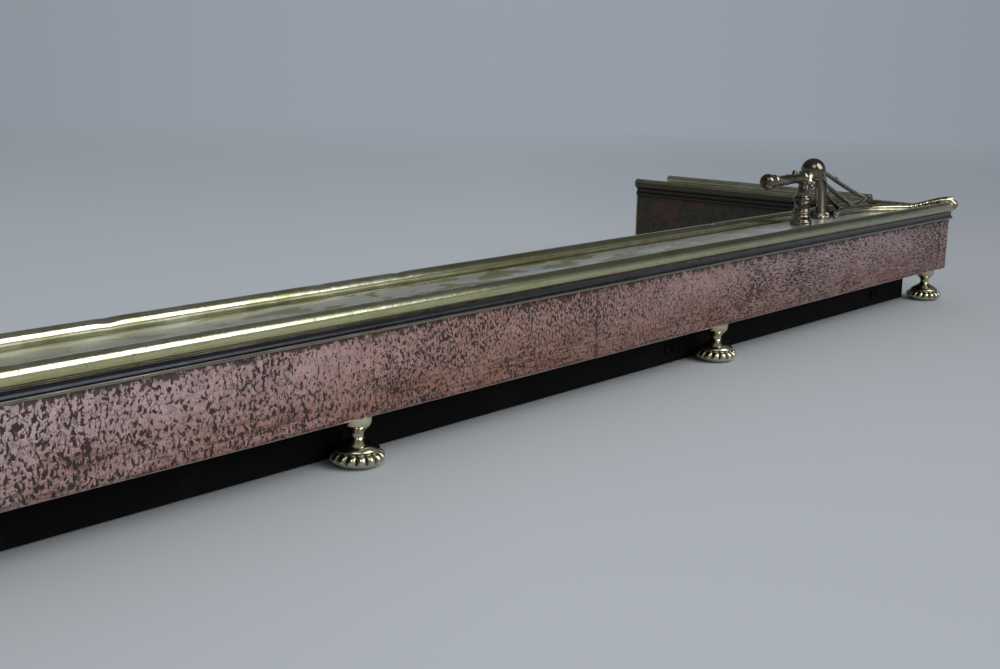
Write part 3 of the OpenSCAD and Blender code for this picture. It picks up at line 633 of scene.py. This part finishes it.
def worn(outline, distance, seed, dents):
    """The outline at one station, with slow waves, fine dimples and the dents."""
    top = (outline[:, 1] > SHEET_TOP + 0.25) & (outline[:, 1] < HEIGHT + 0.5)
    points = np.array(outline)
    spots = np.stack([np.full(len(points), distance * MM), points[:, 0] * MM, points[:, 1] * MM], 1)
    drop = 0.16 + 0.14 * ripple(spots, 9.0, seed) + 0.06 * ripple(spots, 75.0, seed + 4)
    for at, back, wide, deep, amount in dents:
        drop = drop + amount * np.exp(-((distance - at) / wide) ** 2 - ((points[:, 0] - back) / deep) ** 2)
    points[:, 1] -= np.where(top, np.maximum(drop, 0), 0)
    return points


def rail_grime_and_shade(points, inner_shade):
    """Dirt with painted shade in the coves and where a bead meets the flat, and painted shade on the face
    toward the hearth.
    """
    x, z = points[:, 0], points[:, 1]
    # Painted shade on the face toward the hearth
    inner = (x > WALL - BEAD_IN - 1) & (z < 97.6)
    x = np.minimum(x, WALL - x)
    cove = 0.4 * np.exp(-((z - 88.0) / 2.6) ** 2) * (x < 1)
    valley = np.exp(-((x - 5.6) / 1.2) ** 2) * (z < 95.4) * (z > 92.6)
    return np.maximum(np.maximum(cove, 0.7 * valley), inner_shade * inner)


def rail_fields(outline, inner_shade):
    """Where the dirt, the outer face's patina and the flat's own tone lie on the outline."""
    x, z = outline[:, 0], outline[:, 1]
    bead_edge = BEAD_IN + BEAD_R + 0.6
    face = ((x < BEAD_IN) | (x > WALL - BEAD_IN)) * np.clip((97.2 - z) / 1.2, 0, 1)
    flat = ((x > bead_edge) & (x < WALL - bead_edge)) * 1.0
    return {"grime": rail_grime_and_shade(outline, inner_shade), "face": face, "flat": flat}


def rail_mesh(stations, outline, start, end, seed, across, dents=(), inner_shade=0.0):
    """Lofts the outline along a run whose two ends depend on the point's own place across."""
    rings = []
    centre = np.array([WALL / 2])
    for t in np.linspace(0, 1, stations):
        middle = start(centre)[0] * (1 - t) + end(centre)[0] * t
        run = start(outline[:, 0]) * (1 - t) + end(outline[:, 0]) * t
        rings.append(across(run, worn(outline, middle, seed, dents)))
    points, faces = loft(rings)
    fields = rail_fields(outline, inner_shade)
    fields = {name: np.tile(values, len(rings)) for name, values in fields.items()}
    return points, faces, fields


def front_rail():
    def start(x):
        # Mitred at the outer bead, then clear of the corner's shoulder
        return np.where(x <= SHOULDER_FRONT, x, np.maximum(x, SHOULDER_W + 0.1))

    def end(x):
        return LENGTH - start(x)

    def across(run, section):
        return place(1, np.stack([run, section[:, 0], section[:, 1]], 1))

    points, faces, fields = rail_mesh(400, rail_outline(), start, end, 1.0, across, DENTS, 0.35)
    add_mesh("front_rail", points, faces, RAIL_BRASS, "brass", ["front_top_rail"], 50, **fields)


def side_rail(side, name):
    """The long run behind the shoulder, and the short end of the outer bead between mitre and shoulder."""
    def across(run, section):
        return place(side, np.stack([section[:, 0], run, section[:, 1]], 1))

    def long_start(x):
        return np.where(x < SHOULDER_W, SHOULDER_FRONT + SHOULDER_LEN + 0.1, x)

    def long_end(x):
        return 0 * x + REAR

    def short_start(x):
        return x

    def short_end(x):
        return 0 * x + SHOULDER_FRONT - 0.1

    seed = 7.0 + side
    near = edge_outline(COPPER_T)
    near = near[near[:, 0] < SHOULDER_FRONT - 0.2]
    long_run = rail_mesh(90, rail_outline(), long_start, long_end, seed, across, inner_shade=1.0)
    short_run = rail_mesh(5, near, short_start, short_end, seed, across)
    points, faces = join([long_run[:2], short_run[:2]])
    fields = {field: np.concatenate([long_run[2][field], short_run[2][field]]) for field in long_run[2]}
    add_mesh(name, points, faces, RAIL_BRASS, "brass", [name.replace("_rail", "_top_rail")], 50, **fields)


# ---------------------------------------------------------------- copper

CORNER_TURN = 1.4
HEM_H = 3.2
ROLL_H = 1.6


def sheet_mesh(name, columns, rows, at, replaced):
    """A thin sheet: at(u, v, layer) gives points in metres, for the front layer 0 and the rear layer 1."""
    uu, vv = np.meshgrid(np.linspace(0, 1, columns), np.linspace(0, 1, rows), indexing="ij")
    front = at(uu.ravel(), vv.ravel(), 0)
    rear = at(uu.ravel(), vv.ravel(), 1)
    faces = grid_faces(columns, rows)
    count = columns * rows
    back_faces = [[i + count for i in face[::-1]] for face in faces]
    rim = [i * rows for i in range(columns)]
    rim += [(columns - 1) * rows + j for j in range(1, rows)]
    rim += [i * rows + rows - 1 for i in range(columns - 2, -1, -1)]
    rim += list(range(rows - 2, 0, -1))
    sides = [[a, b, b + count, a + count] for a, b in zip(rim, rim[1:] + rim[:1])]
    points = np.concatenate([front, rear])
    add_mesh(name, points, faces + back_faces + sides, COPPER, "copper", replaced, 60)


def hammer(distance, height, seed):
    """Depth of the hammering in millimetres, 0 to 0.42."""
    spots = np.stack([distance * MM, height * MM, np.full(len(distance), seed)], 1)
    blows, waves = ripple(spots, 130.0, seed), ripple(spots, 14.0, seed + 3)
    return np.clip(0.16 + 0.13 * blows + 0.1 * waves, 0.0, 0.42)


def roll(height):
    """Set-back of the sheet's face where its lower edge rolls under, in millimetres."""
    low = np.clip((SKIRT_BOTTOM + ROLL_H - height) / ROLL_H, 0, 1)
    return 1.2 * (1 - np.sqrt(np.maximum(1 - low * low, 0)))


def front_copper():
    def at(u, v, layer):
        distance = COPPER_T + u * (LENGTH - 2 * COPPER_T)
        height = SKIRT_BOTTOM + (SHEET_TOP - SKIRT_BOTTOM) * v
        if layer == 0:
            below_lip = np.clip((LIP_Z - 0.2 - height) / 3, 0, 1)
            depth = roll(height) + hammer(distance, height, 2.0) * below_lip
        else:
            depth = np.where(height < SKIRT_BOTTOM + HEM_H, 2 * COPPER_T, COPPER_T)
        return place(1, np.stack([distance, depth, height], 1))

    sheet_mesh("front_copper", 690, 34, at, ["front_copper_skirt"])


def side_copper(side, name):
    """The side sheet turns the corner and ends in the leaf that laps the front one."""
    thickness = COPPER_T - 0.05

    def at(u, v, layer):
        # Run from the leaf's edge, round the corner, to the rear end
        s = u * (LEAF_W + REAR)
        on_leaf = s < LEAF_W
        top = np.where(s < LEAF_W + 2, LIP_Z - LIP_R - 0.2, SHEET_TOP)
        height = SKIRT_BOTTOM + (top - SKIRT_BOTTOM) * v
        depth = np.full(len(s), thickness)
        corner_round = 0 * s
        if layer == 0:
            leaf_edge = 0.6 * np.clip((1.2 - s) / 1.2, 0, 1)
            depth = np.minimum(roll(height) + 0.7 * hammer(s, height, 5.0 + side), thickness)
            depth = np.maximum(depth, leaf_edge)
            corner_round = 0.4 * np.clip(1 - np.abs(s - LEAF_W) / CORNER_TURN, 0, 1) ** 2
        past_corner = np.clip(1 - (s - LEAF_W) / CORNER_TURN, 0, 1)
        along = np.where(on_leaf, LEAF_W - s, depth + corner_round)
        back = np.where(on_leaf, depth - COPPER_T + corner_round, s - LEAF_W - COPPER_T * past_corner)
        if layer == 1:
            along = np.where(on_leaf, np.maximum(along, thickness), along)
        return place(side, np.stack([along, back, height], 1))

    sheet_mesh(name, 210, 34, at, [name + "_skirt"])


# ---------------------------------------------------------------- feet

# (radius, height) pairs
FOOT_RIM = [
    (7.5, 0.0), (12.6, 0.15), (13.4, 0.7), (14.9, 1.9), (16.3, 3.0), (17.1, 4.1), (17.4, 5.2), (17.1, 6.4),
    (16.4, 7.4), (15.5, 8.2), (14.6, 8.7)]
FOOT_RING = [(13.8, 8.8), (13.5, 9.2), (13.8, 9.7), (14.1, 10.2), (13.8, 10.8)]
FOOT_DOME = [
    (13.1, 11.5), (12.1, 12.3), (10.9, 13.1), (9.5, 13.9), (8.0, 14.6), (6.5, 15.3), (5.2, 16.1),
    (4.3, 17.0)]
FOOT_TRUMPET = [
    (4.0, 18.0), (4.0, 19.2), (4.4, 20.5), (5.2, 21.8), (6.3, 22.9), (7.5, 24.0), (8.5, 25.2), (9.1, 26.8),
    (9.2, 28.6), (9.2, 32.2), (3.0, 32.2)]
GADROONS = 16
GADROON_SIDES = 13
GADROON_CUT = 2.6
RIM_MIDDLE = 6.2
GROOVE_Z = 9.8
NECK_Z = 18.2


def foot_rings():
    """The foot's rings of points, how deep the gadroons cut each point, and the rings' heights."""
    turn = np.linspace(0, 2 * math.pi, GADROONS * GADROON_SIDES, endpoint=False)
    profile = np.asarray(FOOT_RIM + FOOT_RING + FOOT_DOME + FOOT_TRUMPET)
    steps = np.linspace(0, len(profile) - 1, 84)
    radius = np.interp(steps, np.arange(len(profile)), profile[:, 0])
    height = np.interp(steps, np.arange(len(profile)), profile[:, 1])
    # One pass of smoothing rounds the corners between the listed points
    radius[1:-1] = 0.25 * radius[:-2] + 0.5 * radius[1:-1] + 0.25 * radius[2:]
    valley = 1 - np.abs(np.sin(turn * GADROONS / 2)) ** 0.5
    on_rim = np.clip(1 - np.abs(height - RIM_MIDDLE) / 3.4, 0, 1) ** 0.5
    cut = GADROON_CUT * on_rim[:, None] * valley[None, :]
    drop = 0.5 * on_rim[:, None] * valley[None, :] * (height[:, None] > 6)
    r = radius[:, None] - cut
    return np.stack([r * np.cos(turn), r * np.sin(turn), height[:, None] - drop], 2), cut, height


def foot_mesh(name, centre, node):
    """Cast foot with gadroons cut round its rim."""
    rings, cut, height = foot_rings()
    points, faces = loft(rings)
    # Dirt with painted shade in the gadroons' valleys, the groove and the neck
    groove = 0.9 * np.exp(-((height - GROOVE_Z) / 0.7) ** 2)
    neck = 0.35 * np.exp(-((height - NECK_Z) / 0.8) ** 2)
    grime = np.clip(cut / 1.6 + (groove + neck)[:, None], 0, 1).ravel()
    add_mesh(name, points * MM + np.asarray(centre), faces, FOOT_BRASS, "brass", [node], 62, grime=grime)


def feet():
    second = FOOT_END_INSET + FOOT_SPACING
    rear = DEPTH - REAR_FOOT_INSET
    for label, side, along, back in (
            ("front_left_corner", -1, FOOT_END_INSET, FOOT_INSET), ("front_left", -1, second, FOOT_INSET),
            ("front_middle", 1, HALF, FOOT_INSET),
            ("front_right", 1, second, FOOT_INSET), ("front_right_corner", 1, FOOT_END_INSET, FOOT_INSET),
            ("rear_left", -1, FOOT_INSET, rear), ("rear_right", 1, FOOT_INSET, rear)):
        foot_mesh(label + "_cast_foot", place(side, (along, back, 0))[0], label + "_foot")


# ---------------------------------------------------------------- cast rest

# (radius, height) pairs
PEDESTAL = [
    (9.9, 0.05), (10, 2.2), (9.6, 3.6), (8.4, 4.4), (8.3, 6.6), (8.5, 7.6), (7.6, 8.6), (7.4, 10.4),
    (8.2, 11.2), (8.6, 12.2), (8.2, 13.2), (7.2, 14.2), (6.9, 16.4), (7.1, 19), (7.9, 21), (8.8, 22.4),
    (8.8, 24.2), (7.8, 25.2), (6.4, 26.4)]
LEG_BASE = [(4.8, 0.05), (5.0, 1.2), (4.4, 2.2), (3.4, 3.2)]
# (along, height, radius) of the knot's beads
KNOT = [(-8.9, 37.4, 2.3), (-5, 35, 2.6), (-1.3, 37.2, 2.1), (-4.8, 39.2, 1.9)]
# The arm's radius, at fractions of its length
ARM_SWELL_AT = [0, 0.08, 0.16, 0.3, 0.5, 0.74, 0.84, 1]
ARM_SWELL = [5.7, 5.6, 4.6, 4.4, 4.6, 4.8, 5.4, 5.0]
# How far along the bar each rib lands
RIB_FEET = (1, 0.7, 0.47, 0.26)
BAR_START = (POST[0] - 54, 55.5)
BAR_END = (WALL - 1, WALL - 3)
BAR_R = 2.4
BAR_RISE = 7.85
# The castings lie just over the sunk flat
SEAT_Z = FLAT_Z + 0.1


def cast(name, node, shells, side, voxel, material=CAST_BRASS):
    """Fuses overlapping closed shells into one casting with soft fillets."""
    points, faces = join(shells)
    mesh = bpy.data.meshes.new(name + "_rough")
    mesh.from_pydata([tuple(p) for p in place(side, points)], [], faces)
    rough = bpy.data.objects.new(name + "_rough", mesh)
    bpy.context.scene.collection.objects.link(rough)
    outward(rough)
    remesh = rough.modifiers.new("fuse", "REMESH")
    remesh.mode = "VOXEL"
    remesh.voxel_size = voxel * MM
    remesh.adaptivity = 0.0
    relax = rough.modifiers.new("relax", "SMOOTH")
    relax.factor = 0.5
    relax.iterations = 4
    fused = bpy.data.meshes.new_from_object(rough.evaluated_get(bpy.context.evaluated_depsgraph_get()))
    fused.name = name
    bpy.data.objects.remove(rough)
    fused.polygons.foreach_set("use_smooth", [True] * len(fused.polygons))
    fused.materials.clear()
    fused.materials.append(material)
    # The hollows are darkened through this field: dirt with painted shade
    fused.attributes.new("grime", "FLOAT", "POINT").data.foreach_set("value", hollowness(fused))
    obj = bpy.data.objects.new(name, fused)
    bpy.context.scene.collection.objects.link(obj)
    finish_piece(obj, "brass", [node])


def read_vectors(data, field):
    values = np.zeros(len(data) * 3)
    data.foreach_get(field, values)
    return values.reshape(-1, 3)


def hollowness(mesh):
    """How far each point lies in a hollow, 0 to 1, from the bend of the surface along its edges."""
    co, normal = read_vectors(mesh.vertices, "co"), read_vectors(mesh.vertices, "normal")
    count = len(co)
    edges = np.zeros(len(mesh.edges) * 2, int)
    mesh.edges.foreach_get("vertices", edges)
    a, b = edges.reshape(-1, 2).T
    links = np.maximum(np.bincount(a, minlength=count) + np.bincount(b, minlength=count), 1)
    step = co[b] - co[a]
    size = np.linalg.norm(step, axis=1) + 1e-12
    bend = np.zeros(count)
    for ends, sign in ((a, 1), (b, -1)):
        np.add.at(bend, ends, sign * (step * normal[ends]).sum(1) / size)
    bend /= links
    for _ in range(6):
        total = np.bincount(a, bend[b], count) + np.bincount(b, bend[a], count)
        bend = 0.5 * bend + 0.5 * total / links
    return np.clip(bend * 6.4, 0, 1)


def local(points):
    """Points of a rest in its own frame, moved to the corner frame."""
    return np.asarray(points, float) + (*POST, FLAT_Z)


def arm_point(x, y=0, z=0):
    return local((x, y, ARM_UP + z))


def leg_route(steps):
    crown, foot = np.asarray(CROWN), np.asarray(LEG_FOOT)
    return bezier([crown + (-3, 0, -2), (-36, -2, 38), (-44, 6, 22), foot + (0, 0, 6)], steps)


def rest_post(side, label):
    crown, foot = np.asarray(CROWN), np.asarray(LEG_FOOT)
    stem = bezier([(0, 0, 21), (3, -1, 33), (-4, 0, 41), crown + (2, 0, -1)], 24)
    leg = leg_route(28)
    shells = [
        moved(lathe(PEDESTAL, 48), local((0, 0, 0))),
        tube(local(stem), 6.7 - 1.2 * np.sin(np.linspace(0, math.pi, len(stem))), 28),
        tube(local(leg), 7.6 - 2.7 * np.sin(np.linspace(0, math.pi / 2, len(leg))), 28),
        ball(local(crown), 11.5, 36),
        ball(local(crown + (0.5, -6.2, -4.5)), 5.6, 24),
        moved(lathe(LEG_BASE, 32), local(foot))]
    # The knot of small beads on the stem, the trefoil round the second leg's foot and the collar of the arm
    shells += [ball(local((x, -5.1, z)), r, 18) for x, z, r in KNOT]
    shells += [ball(local(foot + (3.3 * turn, 2.7 * turn - 1.5, z)), 3.15, 20)
               for turn, z in ((-1, 3.3), (1, 3.3), (0, 8.0))]
    shells.append(tube([arm_point(x) for x in (1.5, 4, 6.5)], [7.0, 6.6, 5.6], 24))
    cast(label + "_rest_cast_post", label + "_rest_post", shells, side, 0.62)


def rest_arm(side, label):
    route = [arm_point(x, 0, 0.25 * math.sin(x / 9)) for x in np.linspace(2.2, ARM_REACH - 3, 26)]
    shells = [
        tube(route, np.interp(np.linspace(0, 1, 26), ARM_SWELL_AT, ARM_SWELL), 28),
        ball(arm_point(ARM_REACH), 7.2, 36),
        ball(arm_point(18, 0, 5.6), 2.35, 20),
        ball(arm_point(13.6, -0.8, 4.6), 1.5, 16)]
    for middle, half, inner, outer in ((54.4, 1.2, 5.6, 6.1), (30.4, 1, 4.5, 5.0)):
        ring = [arm_point(middle - half), arm_point(middle), arm_point(middle + half)]
        shells.append(tube(ring, [inner, outer, inner], 28))
    cast(label + "_rest_cast_arm", label + "_rest_arm", shells, side, 0.55)


def bar_point(t):
    """A point of the bar the ribs land on, from the post toward the corner."""
    return np.array([
        BAR_START[0] + (BAR_END[0] - BAR_START[0]) * t,
        BAR_START[1] + (BAR_END[1] - BAR_START[1]) * (0.2 * t + 0.8 * t ** 8),
        SEAT_Z + BAR_R + BAR_RISE * t ** 3])


def rest_fan(side, label):
    leg = leg_route(14)
    shells = [tube([bar_point(t) for t in np.linspace(0, 1, 40)], BAR_R, 20)]
    for i, t in enumerate(RIB_FEET):
        foot = bar_point(t)
        top = local(leg[3 * i]) if i else local(np.asarray(CROWN) + (-7, 1, 3))
        rib = bezier([top, top + (foot - top) / 3, top + (foot - top) * 2 / 3 + (0, 0, -3), foot], 24)
        shells.append(tube(rib, 2.0 + 0.25 * np.sin(np.linspace(0, math.pi, 25)), 16))
        if i == 0:
            shells.append(ball(rib[9] + (0, -0.5, 1.0), 2.2, 16))
        shells.append(ball(foot + (0, 0, 0.6), 2.5, 16))
    cast(label + "_rest_cast_fan", label + "_rest_fan", shells, side, 0.6, LIT_CAST)


# ---------------------------------------------------------------- corner casting

KNOB_Z = BEAD_Z + 1.75
SHOULDER_BASE = 90.6
# The band's radius, at fractions of its length
BAND_SWELL_AT = [0, 0.15, 0.4, 0.62, 0.8, 1]
BAND_SWELL = [2.6, 3.8, 4.0, 3.4, 2.8, 2.4]
# (along, back, height, radius)
BAND_BEADS = [(50, 18.5, 97.6, 2.3), (44, 16, 98.4, 2.0), (36, 12.6, 99.6, 2.2), (28, 10.4, 101, 1.9)]
SCROLL = [(22, 8, 101.4), (13, 4.6, 103.4), (4, 1, 102.8), (-2.6, -2.8, 100)]
SCREW_BOSS = [(6.4, 0.1), (6.4, 1.4), (6.0, 1.8), (3.4, 1.8)]
TONGUE_TOP = FLAT_Z + 1.7
SCREW_SEAT = FLAT_Z + 1.8
TONGUE = ((24, 46.6), (53, 46.6), (53, 59.4), (24, 59.4))
BAND_FOOT = ((10, 5.9), (26, 5.9), (26, 10.4), (10, 10.4))
# (radius, height over the screw's seat)
SCREW_HEAD = [(5.0, 0.0), (5.0, 0.25), (4.5, 1.0), (3.5, 1.6), (2.2, 2.05), (1.0, 2.2), (0.3, 2.2)]
SCREW_SHANK = [(2.9, -14.6), (3, -14.2), (3, 0.05)]


def shoulder_loop(y):
    """The sloping shoulder's section, with a rounded outer edge."""
    outer_top = SHOULDER_TOP - 2.5
    slope = zip(np.linspace(SHOULDER_W - 3, 2, 8), np.linspace(SHOULDER_TOP - 0.25, outer_top + 0.2, 8))
    edge = [(-OVERHANG + 3 - 3 * math.cos(math.radians(a)), outer_top - 3 + 3 * math.sin(math.radians(a)))
            for a in range(90, -1, -10)]
    inner = [(SHOULDER_W, SHOULDER_BASE), (SHOULDER_W, SHOULDER_TOP)]
    return [(x, y, z) for x, z in (*inner, *slope, *edge, (-OVERHANG + 1, SHOULDER_BASE))]


def corner_band():
    """The band that sweeps from the rest over the rail to the corner."""
    plan = np.concatenate([
        bezier([(168, 42, 0), (140, 56, 0), (104, 50, 0), (62, 26, 0)], 32),
        bezier([(54, 22, 0), (36, 16, 0.5), (14, 8, 8.6), (-2, -2, 7.75)], 20)])
    swell = np.interp(np.linspace(0, 1, len(plan)), BAND_SWELL_AT, BAND_SWELL)
    return tube(plan + np.stack([0 * swell, 0 * swell, SEAT_Z + swell], 1), swell, 24)


def corner_cast(side, label):
    shoulder_end = SHOULDER_FRONT + SHOULDER_LEN
    shells = [
        loft([shoulder_loop(y) for y in np.linspace(SHOULDER_FRONT, shoulder_end, 30)]),
        corner_band(),
        ball((-2, -2, KNOB_Z), 5.45, 32),
        tube([(BEAD_IN, y, BEAD_Z) for y in (86.9, 88.3, 89.7)], 5.2, 32),
        slab(TONGUE, (SEAT_Z, TONGUE_TOP)),
        moved(lathe(SCREW_BOSS, 40), (*SCREW, FLAT_Z)),
        slab(BAND_FOOT, (SHOULDER_TOP - 5, SHOULDER_TOP + 2.4))]
    # Small beads along the band near the corner, and the scroll beside the knob
    shells += [ball((x, y, z), r, 18) for x, y, z, r in BAND_BEADS]
    shells.append(tube(bezier(SCROLL, 14), np.linspace(1.8, 2.7, 15), 18))
    cast(label + "_corner_cast", label + "_corner_casting", shells, side, 0.75, LIT_CAST)


def screws():
    shells = []
    for side in (-1, 1):
        for points, faces in (lathe(SCREW_HEAD, 32), lathe(SCREW_SHANK, 24)):
            shells.append((place(side, points + (*SCREW, SCREW_SEAT)), faces))
    points, faces = join(shells)
    add_mesh("corner_screw_heads", points, faces, FOOT_BRASS, "brass", ["corner_screws"])


# ---------------------------------------------------------------- CAD nodes that stay

def dress_nodes():
    """Gives the CAD's own pieces their materials, by a word in their names."""
    keep = {
        "plinth": BLACK_IRON, "bracket": BLACK_IRON, "tie": BLACK_IRON, "core_strip": BLACK_IRON,
        "angle": BLACK_IRON, "inner_wall": INNER_IRON, "stud": DULL_STEEL, "nut": DULL_STEEL,
        "end_plate": RAIL_BRASS, "rivet": BLACK_IRON}
    for name, obj in frame["nodes"].items():
        for key, material in keep.items():
            if key in name and not obj.hide_render:
                obj.data.materials.clear()
                obj.data.materials.append(material)


# ---------------------------------------------------------------- stage, light and camera

FLOOR_SIZE = 30
FLOOR_COLOUR = (0.350, 0.364, 0.373)
BACKDROP = (0.305, 0.345, 0.388)
ROOM_LIGHT = (0.80, 0.86, 0.94, 1)
ROOM_STRENGTH = 0.86
ROOM_LOW = (0.10, 0.105, 0.11)
ROOM_HIGH = (0.16, 0.16, 0.155)
SIDE_FALL = 1.2
SIDE_DARKEST = 0.16
# Metres from the middle over which the paper turns into the backdrop
FADE = (1.1, 3.4)
# The sweep of paper starts below the camera, and aside points to the right of it
SWEEP_START = (-0.56, -0.74, 0)
SWEEP_ASIDE = (0.6456, -0.7637, 0)

CAMERA_AT = (-0.5583, -0.73839, 0.25027)
CAMERA_YAW, CAMERA_PITCH, CAMERA_ROLL = 40.2144, 11.8629, 1.2752
FOCAL_PX = 1389
FRAME_W_PX = 1000
SENSOR = 36


def side_shade(tree, aside):
    """Brightness that falls off toward both sides of the sweep, on the floor and on the backdrop alike."""
    fall = maths_node(tree, "MULTIPLY", maths_node(tree, "MULTIPLY", aside, aside), SIDE_FALL)
    return maths_node(tree, "SUBTRACT", 1.0, maths_node(tree, "MINIMUM", fall, SIDE_DARKEST))


def floor_material():
    """Pale paper near the fender, which fades into the backdrop's own tone far away."""
    g = Graph("floor_paper")
    far = g.vector("LENGTH", {0: g.coord}, "Value")
    from_start = g.vector("SUBTRACT", {0: g.coord, 1: SWEEP_START})
    reach = g.vector("DOT_PRODUCT", {0: from_start, 1: SWEEP_ASIDE}, "Value")
    heading = g.vector("NORMALIZE", {0: from_start})
    aside = g.vector("DOT_PRODUCT", {0: heading, 1: SWEEP_ASIDE}, "Value")
    right_shade = g.opposite(g.times(g.step(reach, 0.02, 0.55), 0.22))
    colour = g.tint(1.0, g.grey(right_shade), FLOOR_COLOUR)
    paper = g.node("ShaderNodeBsdfPrincipled", {
        "Base Color": colour, "Roughness": 0.8, "Specular IOR Level": 0.2})
    glow = g.node("ShaderNodeEmission", {"Color": (*BACKDROP, 1), "Strength": side_shade(g.tree, aside)})
    layers = {0: g.step(far, *FADE), 1: paper.outputs[0], 2: glow.outputs[0]}
    blend = g.node("ShaderNodeMixShader", layers)
    g.tree.links.new(blend.outputs[0], g.out.inputs["Surface"])
    return g.mat


def stage_floor():
    corners = [(x * FLOOR_SIZE, y * FLOOR_SIZE, 0) for x, y in ((-1, -1), (1, -1), (1, 1), (-1, 1))]
    mesh = bpy.data.meshes.new("floor")
    mesh.from_pydata(corners, [], [(0, 1, 2, 3)])
    mesh.materials.append(floor_material())
    floor = bpy.data.objects.new("floor", mesh)
    bpy.context.scene.collection.objects.link(floor)


def seen_backdrop(tree, coord):
    """What the camera and reflections see: the backdrop low down and a darker room above it."""
    seen = tree.nodes.new("ShaderNodeBackground")
    split = tree.nodes.new("ShaderNodeSeparateXYZ")
    tree.links.new(coord, split.inputs[0])
    ramp = tree.nodes.new("ShaderNodeValToRGB")
    set_stops(ramp.color_ramp, [(0.0, BACKDROP), (0.24, BACKDROP), (0.34, ROOM_LOW), (1.0, ROOM_HIGH)])
    tree.links.new(split.outputs["Z"], ramp.inputs["Fac"])
    tree.links.new(ramp.outputs["Color"], seen.inputs["Color"])
    aside = tree.nodes.new("ShaderNodeVectorMath")
    aside.operation = "DOT_PRODUCT"
    aside.inputs[1].default_value = SWEEP_ASIDE
    tree.links.new(coord, aside.inputs[0])
    tree.links.new(side_shade(tree, aside.outputs["Value"]), seen.inputs["Strength"])
    return seen


def world():
    w = bpy.data.worlds.new("studio")
    bpy.context.scene.world = w
    w.use_nodes = True
    tree = w.node_tree
    tree.nodes.clear()
    out = tree.nodes.new("ShaderNodeOutputWorld")
    fill = tree.nodes.new("ShaderNodeBackground")
    fill.inputs["Color"].default_value = ROOM_LIGHT
    fill.inputs["Strength"].default_value = ROOM_STRENGTH
    coord = tree.nodes.new("ShaderNodeTexCoord").outputs["Generated"]
    seen = seen_backdrop(tree, coord)
    path = tree.nodes.new("ShaderNodeLightPath")
    either = maths_node(tree, "MAXIMUM", path.outputs["Is Camera Ray"], path.outputs["Is Glossy Ray"])
    blend = tree.nodes.new("ShaderNodeMixShader")
    tree.links.new(either, blend.inputs["Fac"])
    tree.links.new(fill.outputs[0], blend.inputs[1])
    tree.links.new(seen.outputs[0], blend.inputs[2])
    tree.links.new(blend.outputs[0], out.inputs["Surface"])


def softbox(name, at, aim, size, power):
    data = bpy.data.lights.new(name, "AREA")
    data.shape = "RECTANGLE"
    data.size, data.size_y = size
    data.energy = power
    lamp = bpy.data.objects.new(name, data)
    bpy.context.scene.collection.objects.link(lamp)
    lamp.location = at
    lamp.rotation_euler = (Vector(aim) - Vector(at)).to_track_quat("-Z", "Y").to_euler()


def lights():
    softbox("window", (0.90, -1.90, 1.55), (-0.1, -0.15, 0.1), (1.6, 1.8), 41)
    softbox("ceiling_panel", (-1.4, -1.6, 2.6), (-0.1, -0.1, 0.05), (1.6, 1.6), 14)


def camera():
    data = bpy.data.cameras.new("camera")
    data.sensor_width = SENSOR
    data.lens = FOCAL_PX * SENSOR / FRAME_W_PX
    data.clip_start, data.clip_end = 0.02, 100
    cam = bpy.data.objects.new("camera", data)
    bpy.context.scene.collection.objects.link(cam)
    yaw, pitch, roll_by = (math.radians(v) for v in (CAMERA_YAW, CAMERA_PITCH, CAMERA_ROLL))
    forward = Vector((math.cos(yaw) * math.cos(pitch), math.sin(yaw) * math.cos(pitch), -math.sin(pitch)))
    right = Vector((math.sin(yaw), -math.cos(yaw), 0))
    up = right.cross(forward)
    turned_right = math.cos(roll_by) * right + math.sin(roll_by) * up
    turned_up = -math.sin(roll_by) * right + math.cos(roll_by) * up
    turn = Matrix((turned_right, turned_up, -forward)).transposed().to_4x4()
    cam.matrix_world = Matrix.Translation(CAMERA_AT) @ turn
    bpy.context.scene.camera = cam


# ---------------------------------------------------------------- build

front_rail()
side_rail(-1, "left_rail")
side_rail(1, "right_rail")
front_copper()
side_copper(-1, "left_copper")
side_copper(1, "right_copper")
feet()
for hand, label in ((-1, "left"), (1, "right")):
    rest_post(hand, label)
    rest_arm(hand, label)
    rest_fan(hand, label)
    corner_cast(hand, label)
screws()
dress_nodes()
stage_floor()
world()
lights()
camera()
bpy.context.scene.view_settings.view_transform = "Standard"
